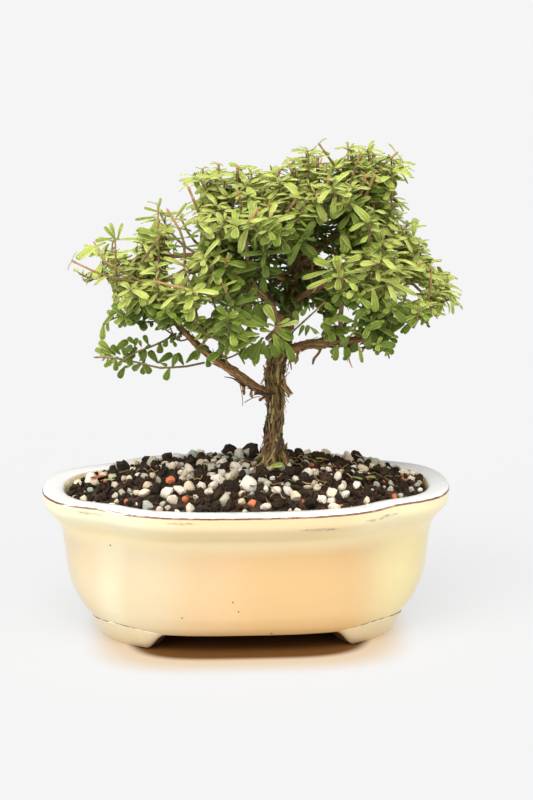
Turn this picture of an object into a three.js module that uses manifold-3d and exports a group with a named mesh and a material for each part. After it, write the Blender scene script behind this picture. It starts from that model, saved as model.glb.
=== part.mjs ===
// A bahama berry bonsai in a glazed, four-lobed oval pot.
// Millimetres, +Z up. The origin is the middle of the pot's footprint, on the ground.
// +X runs along the pot's length, and -Y is its front.

import * as THREE from "three";
import { mergeVertices } from "three/addons/utils/BufferGeometryUtils.js";
import Module from "manifold-3d";

const wasm = await Module();
wasm.setup();

// Pot
const potLength = 185;
const potDepth = 112;
const potHeight = 66;
const footHeight = 7.5;
const floorTop = 13;
const rimWidth = 9.5;
const rimNotch = 0.068;
const rimSquareness = 2.33;
const baseSquareness = 2.9;
const notchSpread = 0.23;
const cornerTurns = [0.785, 2.356, 3.927, 5.498];
const potSides = 48;
const baseHalfLength = 69;
const baseHalfDepth = 42;
const footWidth = 10;
// A foot's levels: height, where it starts and ends round the base's outline, and how far it stands out
const footLevels = [
  [0, 0.14, 0.94, -0.9],
  [1.3, 0.12, 0.97, 0.1],
  [footHeight - 3, 0.09, 1.04, 0.4],
  [footHeight + 1.5, 0.05, 1.16, 0],
];
const drainSpacing = 62;
const drainWidth = 15;

// Drain screens
const screenWidth = 24;
const screenThickness = 0.9;
const screenHoles = 2;
const screenBar = 2;

// Soil
const seat = 0.3;
const soilEdge = 62.3;
const soilClear = 0.9;
const moundMiddle = [5, 2];
const moundHeight = 11;
const moundFall = 2.6;
const soilRings = [1, 0.8, 0.45];
// Low lumps and a long swell over the mound: height, and radians per millimetre along X and Y
const lumps = { height: 0.5, across: 0.31, along: 0.37, start: 1 };
const swell = { height: 0.35, across: 0.12, along: -0.21 };
const trunkClear = 1.2;
const grainCount = 58;
const grainSizes = [2.6, 4.3];
const grainSpread = 0.95;
const grainRise = 0.12;

// Wood and leafy shoots
const trunkFlute = 0.09;
const twigGirth = [0.95, 0.6];
const twigSides = 3;
const twigSteps = 2;
const twigLean = 0.22;
const twigSag = 0.04;
const pairSpan = [0.34, 0.98];
const leafPastTwig = 0.6;
const leafOpening = [1.15, 0.62];
const leafSizes = [0.88, 1.12];
const endLeafShare = 0.86;
const bladeHalfWidth = 0.19;
const bladeThickness = 0.8;
const bladeRows = [[0.36, 0.66], [0.74, 1]];
const bladeDroop = 0.16;
const bladeLift = 0.35;
const bladeBends = [0, -0.25, 0.25, -0.5];
const bladeRoom = 0.3;

// The wood: the way of each limb, as points, and its radius at each point
const limbs = {
  trunk: {
    way: [
      [13, 0, 56], [13, 0, 70], [13, 0, 74], [12.6, 0, 82], [12.4, 0, 97], [12.6, 0, 109], [13.4, 0, 119],
      [15.6, 0.6, 130], [20, 3, 147], [23, 5, 158], [25, 6, 171], [27, 5, 185], [27, 3, 198], [26, 1, 210],
    ],
    girth: [5.6, 5.6, 5.2, 4.5, 4.2, 4.5, 5, 4.4, 3, 2.5, 2, 1.6, 1.2, 0.8],
    sides: 10,
  },
  leftMain: {
    way: [
      [11, 0, 106], [3, -6, 112], [-5, -12, 119], [-13, -16, 125], [-23, -20, 134], [-30, -21, 142],
      [-39, -22, 148], [-47, -22, 151],
    ],
    girth: [2.1, 1.8, 1.7, 1.6, 1.4, 1.2, 1, 0.8],
    sides: 6,
  },
  rightMain: {
    way: [
      [16, 0, 126], [24, -6, 130], [32, -10, 132], [41, -14, 133], [54, -17, 136], [60, -18, 139],
      [69, -18, 144], [78, -16, 148],
    ],
    girth: [2.2, 1.9, 1.8, 1.7, 1.5, 1.3, 1, 0.8],
    sides: 6,
  },
  frontRight: {
    way: [[20, 3, 148], [26, -10, 154], [33, -24, 160], [40, -33, 164]],
    girth: [1.5, 1.2, 1, 0.8],
    sides: 5,
  },
  rightUpper: {
    way: [[24, 5, 165], [35, 3, 174], [44, 0, 184], [52, -3, 195], [57, -4, 204]],
    girth: [1.8, 1.5, 1.4, 1.1, 0.8],
    sides: 5,
  },
  leftMid: {
    way: [[23, 4, 156], [11, 0, 162], [-3, -6, 168], [-18, -10, 171], [-36, -13, 171], [-52, -14, 169]],
    girth: [1.8, 1.5, 1.3, 1.1, 1, 0.8],
    sides: 5,
  },
  leftUpper: {
    way: [[25, 6, 169], [13, 5, 179], [-1, 1, 187], [-13, -2, 193]],
    girth: [1.5, 1.2, 1, 0.8],
    sides: 5,
  },
  backLeft: {
    way: [[20, 3, 146], [9, 14, 151], [-7, 24, 156], [-27, 29, 160]],
    girth: [1.6, 1.3, 1, 0.8],
    sides: 5,
  },
  backRight: {
    way: [[23, 5, 160], [38, 18, 164], [56, 26, 169], [70, 28, 170]],
    girth: [1.6, 1.3, 1, 0.8],
    sides: 5,
  },
  rightMid: {
    way: [[24, 5, 163], [41, 4, 161], [60, 0, 160], [74, -4, 157]],
    girth: [1.4, 1.2, 1, 0.8],
    sides: 5,
  },
  front: {
    way: [[17, 0, 135], [13, -12, 144], [8, -24, 154], [1, -31, 160]],
    girth: [1.6, 1.2, 1, 0.8],
    sides: 5,
  },
  frontUpper: {
    way: [[26, 6, 174], [20, -10, 183], [13, -22, 190], [7, -29, 194]],
    girth: [1.4, 1.1, 0.9, 0.8],
    sides: 5,
  },
  back: {
    way: [[22, 4, 152], [25, 20, 158], [28, 32, 167]],
    girth: [1.5, 1.1, 0.8],
    sides: 5,
  },
};

// Sawn or snapped stubs below the two main limbs: limb, place along it, end point and radius
const stubs = [
  ["leftMain", 0.22, [-1, -8, 107], 1],
  ["leftMain", 0.15, [2.5, -7, 105], 0.9],
  ["rightMain", 0.14, [20, -6, 120.5], 1],
  ["rightMain", 0.3, [29, -11, 122.5], 1],
];

// Leafy shoots: limb, place along it, tip, leaf pairs, leaf length and tone
const shoots = [
  ["leftMid", 1, [-74, -16, 168], 4, 10, "light"],
  ["leftMid", 0.93, [-66, -6, 178], 4, 11, "light"],
  ["leftMid", 0.84, [-56, -20, 184], 4, 11, "light"],
  ["leftMid", 0.8, [-66, -24, 157], 4, 11, "mid"],
  ["leftMid", 0.74, [-49, 10, 184], 4, 11, "mid"],
  ["leftMid", 0.62, [-38, -1, 192], 4, 10, "light"],
  ["leftMid", 0.52, [-29, -20, 192], 4, 11, "light"],
  ["leftMid", 0.58, [-28, -38, 174], 4, 12, "light"],
  ["leftMid", 0.4, [-7, -36, 170], 4, 12, "mid"],
  ["leftMid", 0.25, [6, -46, 180], 4, 12, "light"],
  ["leftMain", 1, [-62, -22, 146], 4, 9, "mid"],
  ["leftMain", 0.52, [-66, -27, 130], 6, 7.5, "mid"],
  ["leftMain", 0.68, [-50, -34, 134], 4, 7, "mid"],
  ["leftMain", 0.92, [-45, -36, 161], 4, 11, "mid"],
  ["leftMain", 0.76, [-33, -42, 154], 4, 11, "mid"],
  ["leftMain", 0.55, [-17, -39, 148], 4, 11, "mid"],
  ["leftMain", 0.36, [-10, -24, 143], 4, 8, "dark"],
  ["leftUpper", 1, [-26, -8, 200], 4, 10, "light"],
  ["leftUpper", 0.93, [-20, -26, 186], 4, 11, "mid"],
  ["leftUpper", 0.8, [-18, 8, 206], 4, 11, "light"],
  ["leftUpper", 0.68, [-3, -6, 209], 4, 11, "light"],
  ["leftUpper", 0.4, [9, 10, 206], 4, 11, "mid"],
  ["leftUpper", 0.6, [-13, 36, 187], 4, 12, "mid"],
  ["frontUpper", 0.6, [12, -20, 208], 4, 12, "light"],
  ["frontUpper", 1, [-1, -42, 192], 4, 12, "light"],
  ["frontUpper", 0.4, [22, -42, 186], 4, 12, "light"],
  ["trunk", 1, [27, 0, 219], 4, 11, "light"],
  ["trunk", 0.93, [35, 13, 214], 4, 11, "mid"],
  ["trunk", 0.86, [28, -28, 203], 4, 12, "light"],
  ["trunk", 0.82, [34, 38, 192], 4, 12, "mid"],
  ["rightUpper", 0.84, [45, -8, 215], 4, 11, "light"],
  ["rightUpper", 1, [57, 5, 217], 4, 11, "light"],
  ["rightUpper", 0.94, [67, -11, 213], 4, 11, "light"],
  ["rightUpper", 0.82, [72, 10, 202], 4, 11, "mid"],
  ["rightUpper", 0.62, [42, -32, 200], 4, 12, "light"],
  ["rightUpper", 0.5, [58, -32, 183], 4, 12, "mid"],
  ["rightUpper", 0.55, [58, 33, 188], 4, 12, "mid"],
  ["backRight", 1, [81, 8, 184], 4, 11, "mid"],
  ["backRight", 0.85, [78, 42, 164], 4, 12, "dark"],
  ["rightMid", 0.9, [84, 10, 168], 4, 11, "mid"],
  ["rightMid", 1, [91, -12, 155], 4, 11, "light"],
  ["rightMain", 1, [82, -22, 141], 4, 11, "light"],
  ["rightMain", 0.84, [72, -38, 154], 4, 11, "light"],
  ["rightMain", 0.7, [60, -25, 128], 4, 9, "dark"],
  ["rightMain", 0.46, [43, -24, 125], 4, 9, "dark"],
  ["rightMain", 0.6, [52, -36, 149], 4, 10, "mid"],
  ["frontRight", 0.86, [34, -50, 171], 4, 14, "light"],
  ["frontRight", 1, [54, -50, 166], 4, 14, "light"],
  ["front", 0.5, [13, -32, 143], 4, 13, "light"],
  ["front", 0.28, [3, -19, 131], 4, 11, "mid"],
  ["front", 1, [-8, -46, 158], 4, 12, "light"],
  ["backLeft", 1, [-54, 32, 158], 4, 12, "dark"],
  ["backLeft", 0.8, [-30, 40, 176], 4, 12, "dark"],
  ["back", 1, [20, 48, 172], 4, 12, "dark"],
  ["back", 0.6, [46, 42, 150], 4, 12, "dark"],
];

// Colours
const colours = {
  glaze: 0xefd9ae,
  soil: 0x3a2c22,
  screen: 0x2c2f30,
  bark: 0x6a5233,
  light: 0x9db548,
  mid: 0x6f8a38,
  dark: 0x4c6a30,
};

// A run of even random numbers from 0 to 1 that is the same each time
function dice(seed) {
  let state = seed;
  return () => {
    state = (state + 0x6d2b79f5) | 0;
    let mixed = Math.imul(state ^ (state >>> 15), 1 | state);
    mixed = (mixed + Math.imul(mixed ^ (mixed >>> 7), 61 | mixed)) ^ mixed;
    return ((mixed ^ (mixed >>> 14)) >>> 0) / 4294967296;
  };
}

function vector(point) {
  return new THREE.Vector3(...point);
}

// The triangles that close a ring: a flat level one may have hollows in it, others are convex
function capFaces(ring) {
  if (ring.every((point) => Math.abs(point.z - ring[0].z) < 1e-6)) {
    return THREE.ShapeUtils.triangulateShape(ring.map((point) => new THREE.Vector2(point.x, point.y)), []);
  }
  return ring.slice(2).map((point, index) => [0, index + 1, index + 2]);
}

// A closed skin over rings of points that turn anticlockwise about the way they go.
// A ring of one point is a sharp end.
function loft(rings) {
  const positions = [];
  const faces = [];
  const starts = [];
  for (const ring of rings) {
    starts.push(positions.length / 3);
    ring.forEach((point) => positions.push(point.x, point.y, point.z));
  }
  for (let level = 0; level + 1 < rings.length; level += 1) {
    const [here, there] = [rings[level].length, rings[level + 1].length];
    const [low, high] = [starts[level], starts[level + 1]];
    for (let index = 0; index < Math.max(here, there); index += 1) {
      const next = index + 1;
      if (here > 1) {
        faces.push(low + index, low + (next % here), high + (next % there));
      }
      if (there > 1) {
        faces.push(low + (index % here), high + (next % there), high + (index % there));
      }
    }
  }
  const last = starts[starts.length - 1];
  for (const [a, b, c] of capFaces(rings[0])) {
    faces.push(a, c, b);
  }
  for (const [a, b, c] of capFaces(rings[rings.length - 1])) {
    faces.push(last + a, last + b, last + c);
  }
  const geometry = new THREE.BufferGeometry();
  geometry.setAttribute("position", new THREE.Float32BufferAttribute(positions, 3));
  geometry.setIndex(faces);
  return geometry;
}

function solid(geometry) {
  const bare = geometry.clone();
  bare.deleteAttribute("normal");
  bare.deleteAttribute("uv");
  const joined = mergeVertices(bare, 1e-4);
  return new wasm.Manifold(new wasm.Mesh({
    numProp: 3,
    vertProperties: new Float32Array(joined.attributes.position.array),
    triVerts: new Uint32Array(joined.index.array),
  }));
}

function joinAll(solids) {
  return wasm.Manifold.union(solids);
}

// The largest body of a solid, without the scraps that a cut leaves
function mainBody(shape) {
  return shape.decompose().reduce((best, piece) => (piece.volume() > best.volume() ? piece : best));
}

function meshOf(name, shape, colour, roughness) {
  const { vertProperties, triVerts } = shape.getMesh();
  const geometry = new THREE.BufferGeometry();
  geometry.setAttribute("position", new THREE.Float32BufferAttribute(vertProperties, 3));
  geometry.setIndex(Array.from(triVerts));
  geometry.computeVertexNormals();
  const finish = new THREE.MeshStandardMaterial({ color: colour, roughness, metalness: 0 });
  const mesh = new THREE.Mesh(geometry, finish);
  mesh.name = name;
  return mesh;
}

// Pot

// How far the plan is drawn in at a turn, deepest at the four corners
function pinch(turn, notch) {
  return cornerTurns.reduce((sum, corner) => {
    const away = Math.atan2(Math.sin(turn - corner), Math.cos(turn - corner));
    return sum - notch * Math.exp(-((away / notchSpread) ** 2));
  }, 1);
}

// A point of the pot's plan: a squared oval with its corners drawn in
function planPoint(turn, { z, length, depth, notch, squareness }) {
  const [across, along] = [Math.cos(turn), Math.sin(turn)];
  const draw = pinch(turn, notch);
  return new THREE.Vector3(
    length * Math.sign(across) * Math.abs(across) ** (2 / squareness) * draw,
    depth * Math.sign(along) * Math.abs(along) ** (2 / squareness) * draw,
    z,
  );
}

function planRing(level) {
  const side = (2 * Math.PI) / potSides;
  return Array.from({ length: potSides }, (_, step) => planPoint(side * (step + 0.5), level));
}

// A level of the pot's wall, inset from the rim's edge along the length and the depth
function level(z, insetLength, insetDepth, notch, squareness = rimSquareness) {
  return { z, length: potLength / 2 - insetLength, depth: potDepth / 2 - insetDepth, notch, squareness };
}

const baseInset = [potLength / 2 - baseHalfLength, potDepth / 2 - baseHalfDepth];

// The wall's levels from the base up: outside it flares to a cove under the rim's lip,
// and inside it follows the outside up to the rim's inner edge
const wallOutside = [
  level(footHeight, ...baseInset, 0.012, baseSquareness),
  level(footHeight + 3, baseInset[0] - 3.5, baseInset[1] - 1.8, 0.018, 2.75),
  level(footHeight + 8, baseInset[0] - 7.8, baseInset[1] - 3.4, 0.026, 2.6),
  level(footHeight + 19, baseInset[0] - 12.4, baseInset[1] - 4.9, 0.037, 2.43),
  level(potHeight - 20, 8.2, 7.8, 0.05),
  level(potHeight - 14, 6.2, 6, 0.058),
  level(potHeight - 9.5, 2.6, 2.6, 0.065),
  level(potHeight - 6.5, 0.5, 0.5, rimNotch),
  level(potHeight - 1.4, 0, 0, rimNotch),
  level(potHeight, 1.2, 1.2, rimNotch),
];
const wallInside = [
  level(floorTop, 24, 18.5, 0.012, 2.7),
  level(floorTop + 3, 19.5, 15, 0.03, 2.5),
  level(floorTop + 20, 15.5, 13.2, 0.04),
  level(potHeight - 12, 12.4, 12, 0.058),
  level(potHeight - 2, rimWidth + 0.6, rimWidth + 0.6, rimNotch),
  level(potHeight, rimWidth, rimWidth, rimNotch),
  level(potHeight + 2, rimWidth - 1, rimWidth - 1, rimNotch),
];

// A bracket foot: a band that follows the base round one corner, with sloping ends.
// It starts near the pot's end and reaches further along the pot's side.
function footSolid(quarter) {
  const steps = 6;
  const mirrorX = quarter === 0 || quarter === 3 ? 1 : -1;
  const mirrorY = quarter < 2 ? 1 : -1;
  const ring = (z, from, to, grow) => {
    const edge = (inset) => Array.from({ length: steps }, (_, step) => {
      const turn = from + ((to - from) * step) / (steps - 1);
      const length = baseHalfLength + grow - inset;
      const depth = baseHalfDepth + grow - inset;
      const point = planPoint(turn, { z, length, depth, notch: 0, squareness: baseSquareness });
      return point.multiply(new THREE.Vector3(mirrorX, mirrorY, 1));
    });
    const outline = [...edge(0), ...edge(footWidth).reverse()];
    return mirrorX * mirrorY > 0 ? outline : outline.reverse();
  };
  return solid(loft(footLevels.map((footLevel) => ring(...footLevel))));
}

function drainPlaces() {
  return [-1, 1].map((side) => (side * drainSpacing) / 2);
}

function potSolid() {
  const feet = cornerTurns.map((_, quarter) => footSolid(quarter));
  const drains = drainPlaces().map((x) => {
    const hole = new THREE.CylinderGeometry(drainWidth / 2, drainWidth / 2, floorTop * 2, 16);
    return solid(hole.rotateX(Math.PI / 2).translate(x, 0, floorTop));
  });
  const shell = solid(loft(wallOutside.map(planRing))).subtract(solid(loft(wallInside.map(planRing))));
  return joinAll([shell, ...feet]).subtract(joinAll(drains));
}

// A square of plastic mesh over a drain hole
function screenSolid(x) {
  const plate = new THREE.BoxGeometry(screenWidth, screenWidth, screenThickness);
  const pitch = (screenWidth - screenBar) / screenHoles;
  const holes = [];
  for (let row = 0; row < screenHoles; row += 1) {
    for (let column = 0; column < screenHoles; column += 1) {
      const hole = new THREE.BoxGeometry(pitch - screenBar, pitch - screenBar, 3 * screenThickness);
      const middle = (screenHoles - 1) / 2;
      holes.push(solid(hole.translate((column - middle) * pitch, (row - middle) * pitch, 0)));
    }
  }
  const mesh = solid(plate).subtract(joinAll(holes));
  return mesh.translate([x, 0, floorTop + seat + screenThickness / 2]);
}

// Wood

// Rings of a round limb along a smooth curve, with its girth read between the points
function limbRings({ way, girth, sides }, grow, flute) {
  const curve = new THREE.CatmullRomCurve3(way.map(vector));
  const steps = way.length - 1;
  const rings = [];
  let aside = new THREE.Vector3(1, 0.2, 0.1);
  for (let step = 0; step <= steps; step += 1) {
    const u = step / steps;
    const ahead = curve.getTangent(u);
    aside = aside.clone().addScaledVector(ahead, -aside.dot(ahead)).normalize();
    const over = ahead.clone().cross(aside);
    const place = u * (girth.length - 1);
    const index = Math.min(Math.floor(place), girth.length - 2);
    const radius = THREE.MathUtils.lerp(girth[index], girth[index + 1], place - index) + grow;
    rings.push(Array.from({ length: sides }, (_, side) => {
      const turn = (2 * Math.PI * side) / sides;
      const ridge = 1 + flute * (Math.sin(3 * turn + 6 * u) + 0.6 * Math.sin(4 * turn - 9 * u));
      return curve.getPoint(u)
        .addScaledVector(aside, radius * ridge * Math.cos(turn))
        .addScaledVector(over, radius * ridge * Math.sin(turn));
    }));
  }
  return rings;
}

function limbCurve(name) {
  return new THREE.CatmullRomCurve3(limbs[name].way.map(vector));
}

function stubLimb([limb, place, end, radius]) {
  const start = limbCurve(limb).getPoint(place);
  const middle = start.clone().lerp(vector(end), 0.5);
  const girth = [radius * 1.3, radius, radius * 0.8];
  return { way: [start.toArray(), middle.toArray(), end], girth, sides: 5 };
}

function woodSolid(grow) {
  const parts = Object.entries(limbs).map(([name, limb]) => (
    solid(loft(limbRings(limb, grow, name === "trunk" ? trunkFlute : 0)))
  ));
  parts.push(...stubs.map((stub) => solid(loft(limbRings(stubLimb(stub), grow, 0)))));
  return joinAll(parts);
}

// Soil

// How near a point is to the pot's inner wall: 0 in the middle, 1 at the wall
function outwards(x, y) {
  const length = potLength / 2 - rimWidth;
  const depth = potDepth / 2 - rimWidth;
  const power = rimSquareness;
  return ((Math.abs(x) / length) ** power + (Math.abs(y) / depth) ** power) ** (1 / power);
}

function soilTop(x, y) {
  const near = Math.min(outwards(x - moundMiddle[0], y - moundMiddle[1]), 1);
  const lump = lumps.height * Math.sin(lumps.across * x + lumps.start) * Math.cos(lumps.along * y);
  const rise = swell.height * Math.sin(swell.across * x + swell.along * y);
  return soilEdge + moundHeight * (1 - near ** moundFall) + lump + rise;
}

// A level just inside the pot's wall
function insideWall(index, z, clear) {
  const wall = wallInside[index];
  return { ...wall, z, length: wall.length - clear, depth: wall.depth - clear };
}

// Rings of soil just inside the wall, up from the floor and then over the mound
function soilRingsUp() {
  const edge = planRing(insideWall(4, soilEdge, soilClear + 0.6));
  return [
    planRing(insideWall(0, floorTop + seat, 2)),
    planRing(insideWall(1, floorTop + 4, 1)),
    planRing(insideWall(3, potHeight - 12, soilClear)),
    ...soilRings.map((share) => (
      edge.map(({ x, y }) => new THREE.Vector3(x * share, y * share, soilTop(x * share, y * share)))
    )),
  ];
}

// A grain of lava, pumice or fired clay, part sunk in the soil.
// The grains wind outwards at an even spacing, each pushed a little out of place.
function grainSolid(index, random) {
  const goldenTurn = Math.PI * (3 - Math.sqrt(5));
  const share = Math.sqrt((index + 0.3 + 0.5 * random()) / grainCount) * grainSpread;
  const turn = index * goldenTurn + 0.25 * random();
  const size = THREE.MathUtils.lerp(...grainSizes, random() ** 1.5);
  const edge = planPoint(turn, insideWall(4, 0, soilClear + size));
  const [x, y] = [edge.x * share, edge.y * share];
  const grain = new THREE.OctahedronGeometry(size, 0);
  grain.scale(1 + 0.3 * random(), 0.8 + 0.3 * random(), 0.6 + 0.3 * random());
  grain.rotateX(0.3 + 0.5 * random());
  grain.rotateZ(2 * Math.PI * random());
  grain.translate(x, y, soilTop(x, y) + size * grainRise);
  const trunkAway = Math.hypot(x - limbs.trunk.way[1][0], y) - limbs.trunk.girth[1] - trunkClear;
  return trunkAway > size * 1.5 ? solid(grain) : null;
}

function soilSolid() {
  const random = dice(11);
  const grains = Array.from({ length: grainCount }, (_, index) => grainSolid(index, random))
    .filter(Boolean);
  const { way, girth, sides } = limbs.trunk;
  const trunkFoot = { way: way.slice(0, 5), girth: girth.slice(0, 5), sides };
  const pockets = drainPlaces().map((x) => {
    const room = screenWidth + 2 * seat;
    const pocket = new THREE.BoxGeometry(room, room, 2 * (screenThickness + 2 * seat));
    return solid(pocket.translate(x, 0, floorTop + seat));
  });
  return mainBody(joinAll([solid(loft(soilRingsUp())), ...grains])
    .subtract(solid(loft(limbRings(trunkFoot, trunkClear, 0))))
    .subtract(joinAll(pockets)));
}

// Leafy shoots

// The way of a twig: out of its limb, then on towards the shoot's tip, which its last leaves reach
function twigCurve([limb, place, tip, , length]) {
  const curve = limbCurve(limb);
  const start = curve.getPoint(place);
  const way = vector(tip).sub(start);
  const reach = way.length() - leafPastTwig * length;
  const end = start.clone().addScaledVector(way.normalize(), reach);
  const lift = start.clone()
    .addScaledVector(curve.getTangent(place), reach * twigLean)
    .lerp(start.clone().lerp(end, 0.5), 0.5);
  lift.z -= reach * twigSag;
  return new THREE.QuadraticBezierCurve3(start, lift, end);
}

function twigRings(curve, grow) {
  const rings = [];
  let aside = new THREE.Vector3(0.3, 1, 0.2);
  for (let step = 0; step <= twigSteps; step += 1) {
    const u = step / twigSteps;
    const ahead = curve.getTangent(u);
    aside = aside.clone().addScaledVector(ahead, -aside.dot(ahead)).normalize();
    const over = ahead.clone().cross(aside);
    const radius = THREE.MathUtils.lerp(...twigGirth, u) + grow;
    rings.push(Array.from({ length: twigSides }, (_, side) => {
      const turn = (2 * Math.PI * side) / twigSides;
      return curve.getPoint(u)
        .addScaledVector(aside, radius * Math.cos(turn))
        .addScaledVector(over, radius * Math.sin(turn));
    }));
  }
  return rings;
}

// The leaves of a shoot: opposite pairs, each turned a quarter from the last, and a pair at the tip
function leavesOf(shoot, random) {
  const [, , , pairs, length] = shoot;
  const curve = twigCurve(shoot);
  const leaves = [];
  const roll = Math.PI * random();
  for (let pair = 0; pair < pairs; pair += 1) {
    const along = pair / (pairs - 1);
    const u = THREE.MathUtils.lerp(...pairSpan, along);
    const ahead = curve.getTangent(u);
    const aside = new THREE.Vector3(0, 0, 1).cross(ahead);
    aside.addScaledVector(ahead, -aside.dot(ahead)).normalize();
    const over = ahead.clone().cross(aside);
    for (const side of [0, 1]) {
      const turn = roll + pair * (Math.PI / 2) + side * Math.PI + 0.5 * (random() - 0.5);
      const open = THREE.MathUtils.lerp(...leafOpening, along) + 0.3 * (random() - 0.5);
      const share = THREE.MathUtils.lerp(endLeafShare, 1, Math.sin(Math.PI * along));
      const size = length * share * THREE.MathUtils.lerp(...leafSizes, random());
      leaves.push({ root: curve.getPoint(u), ahead, aside, over, turn, open, size });
    }
  }
  return leaves;
}

// One blade: widest past its middle, keeled below, and bent down towards its tip
function leafRings({ root, ahead, aside, over, turn, open, size }, bend, grow) {
  const outward = aside.clone().multiplyScalar(Math.cos(turn)).addScaledVector(over, Math.sin(turn));
  const reach = ahead.clone()
    .multiplyScalar(Math.cos(open + bend))
    .addScaledVector(outward, Math.sin(open + bend));
  const face = ahead.clone().addScaledVector(reach, -ahead.dot(reach)).normalize();
  face.lerp(new THREE.Vector3(0, 0, 1), bladeLift);
  face.addScaledVector(reach, -face.dot(reach)).normalize();
  const wing = face.clone().cross(reach);
  const spine = (u) => root.clone()
    .addScaledVector(reach, size * u)
    .addScaledVector(face, -size * bladeDroop * u * u);
  const halfWidth = size * bladeHalfWidth + grow;
  const rows = bladeRows.map(([u, width]) => {
    const middle = spine(u);
    return [
      middle.clone().addScaledVector(wing, halfWidth * width).addScaledVector(face, grow),
      middle.clone().addScaledVector(wing, -halfWidth * width).addScaledVector(face, grow),
      middle.clone().addScaledVector(face, -bladeThickness - grow),
    ];
  });
  return [[root], ...rows, [spine(1)]];
}

function boxOf(rings) {
  return new THREE.Box3().setFromPoints(rings.flat());
}

// What a blade must stay clear of: a box to look up quickly, and the solid itself
function obstacle(rings) {
  return { box: boxOf(rings), body: solid(loft(rings)) };
}

function crosses(thing, others) {
  return others.some((other) => (
    other.box.intersectsBox(thing.box) && other.body.intersect(thing.body).volume() > 1e-4
  ));
}

function growShoots(wood) {
  const everywhere = new THREE.Box3(new THREE.Vector3(-1e3, -1e3, -1e3), new THREE.Vector3(1e3, 1e3, 1e3));
  const woodBody = { box: everywhere, body: wood };
  const grown = shoots.map((shoot) => ({ shoot, parts: [obstacle(twigRings(twigCurve(shoot), 0))] }));
  const random = dice(5);
  for (const shoot of grown) {
    const others = grown.filter((other) => other !== shoot);
    for (const leaf of leavesOf(shoot.shoot, random)) {
      for (const bend of bladeBends) {
        const wide = obstacle(leafRings(leaf, bend, bladeRoom));
        if (!crosses(wide, [woodBody]) && !others.some((other) => crosses(wide, other.parts))) {
          shoot.parts.push(obstacle(leafRings(leaf, bend, 0)));
          break;
        }
      }
    }
  }
  return grown;
}

// Assembly
const bonsai = new THREE.Group();
bonsai.name = "bahama_berry_bonsai";
bonsai.add(meshOf("pot", potSolid(), colours.glaze, 0.25));
drainPlaces().forEach((x, index) => {
  bonsai.add(meshOf(`drain_screen_${index + 1}`, screenSolid(x), colours.screen, 0.6));
});
bonsai.add(meshOf("soil", soilSolid(), colours.soil, 0.95));
bonsai.add(meshOf("trunk_and_limbs", woodSolid(0), colours.bark, 0.9));

const woodRoom = woodSolid(seat);
growShoots(woodRoom).forEach(({ shoot, parts }, index) => {
  const spray = mainBody(joinAll(parts.map((part) => part.body)).subtract(woodRoom));
  bonsai.add(meshOf(`shoot_${String(index + 1).padStart(2, "0")}`, spray, colours[shoot[5]], 0.55));
});

export default bonsai;
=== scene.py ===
# %% [markdown]
# # A small bonsai in its glazed pot
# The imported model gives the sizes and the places: the pot, the soil, the wood and 55 leafy
# shoots. This lesson builds the surfaces that a camera sees around it. Each piece is made in
# its own cells, from the table upwards: pot, soil and grains, wood and bark, twigs, leaves.

import math
import random
from types import SimpleNamespace

import bmesh
import bpy
import numpy as np
from mathutils import Matrix, Vector, noise
from mathutils.geometry import tessellate_polygon


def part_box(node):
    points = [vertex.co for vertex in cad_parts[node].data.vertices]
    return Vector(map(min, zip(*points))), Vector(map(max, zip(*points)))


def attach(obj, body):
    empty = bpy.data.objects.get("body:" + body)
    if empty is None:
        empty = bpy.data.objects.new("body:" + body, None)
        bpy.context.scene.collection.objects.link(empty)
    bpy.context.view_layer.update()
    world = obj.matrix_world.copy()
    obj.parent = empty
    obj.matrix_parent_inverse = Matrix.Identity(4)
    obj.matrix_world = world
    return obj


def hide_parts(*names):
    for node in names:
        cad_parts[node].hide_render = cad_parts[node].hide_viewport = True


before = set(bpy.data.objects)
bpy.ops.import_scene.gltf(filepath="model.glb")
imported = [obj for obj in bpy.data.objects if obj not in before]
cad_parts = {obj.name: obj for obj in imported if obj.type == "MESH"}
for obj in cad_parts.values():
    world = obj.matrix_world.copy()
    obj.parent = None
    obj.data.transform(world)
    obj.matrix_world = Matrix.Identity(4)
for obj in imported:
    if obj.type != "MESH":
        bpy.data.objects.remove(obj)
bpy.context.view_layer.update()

# %% [markdown]
# ## One line for one node
# Geometry Nodes and shaders are both graphs. Built in a script, a graph reads best when one
# line makes one node: its kind, what feeds its inputs, and its settings. A feed that is a
# socket becomes a link, and any other feed becomes the input's own value. Numbers in a graph
# are held as a Value, so that a sum of masks is written as a sum.

# %% Nodes, sums, steps and colours
MM = 0.001
SOCKETS = {"float": "NodeSocketFloat", "int": "NodeSocketInt", "vector": "NodeSocketVector",
           "geometry": "NodeSocketGeometry", "material": "NodeSocketMaterial",
           "shapes": "NodeSocketCollection"}
NODES_IN_A_ROW, NODE_ASIDE, NODE_DOWN = 12, 200, -260


class Value:
    """A socket that sums can be written with. Each operation adds a node to its tree"""

    def __init__(self, tree, socket):
        self.tree, self.socket = tree, socket

    def maths(self, operation, *others):
        return maths(self.tree, operation, self, *others)

    def __add__(self, other):
        return self.maths("ADD", other)

    def __sub__(self, other):
        return self.maths("SUBTRACT", other)

    def __mul__(self, other):
        return self.maths("MULTIPLY", other)

    def __truediv__(self, other):
        return self.maths("DIVIDE", other)

    def step(self, low, high, to_low=0.0, to_high=1.0):
        """A soft step from to_low to to_high as the value goes from low to high"""
        feeds = {"Value": self, "From Min": low, "From Max": high, "To Min": to_low, "To Max": to_high}
        made = node(self.tree, "ShaderNodeMapRange", feeds, interpolation_type="SMOOTHSTEP")
        return Value(self.tree, made.outputs["Result"])


def feed(tree, inputs, feeds):
    for name, value in feeds.items():
        value = value.socket if isinstance(value, Value) else value
        if isinstance(value, bpy.types.NodeSocket):
            tree.links.new(value, inputs[name])
        else:
            inputs[name].default_value = value


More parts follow.
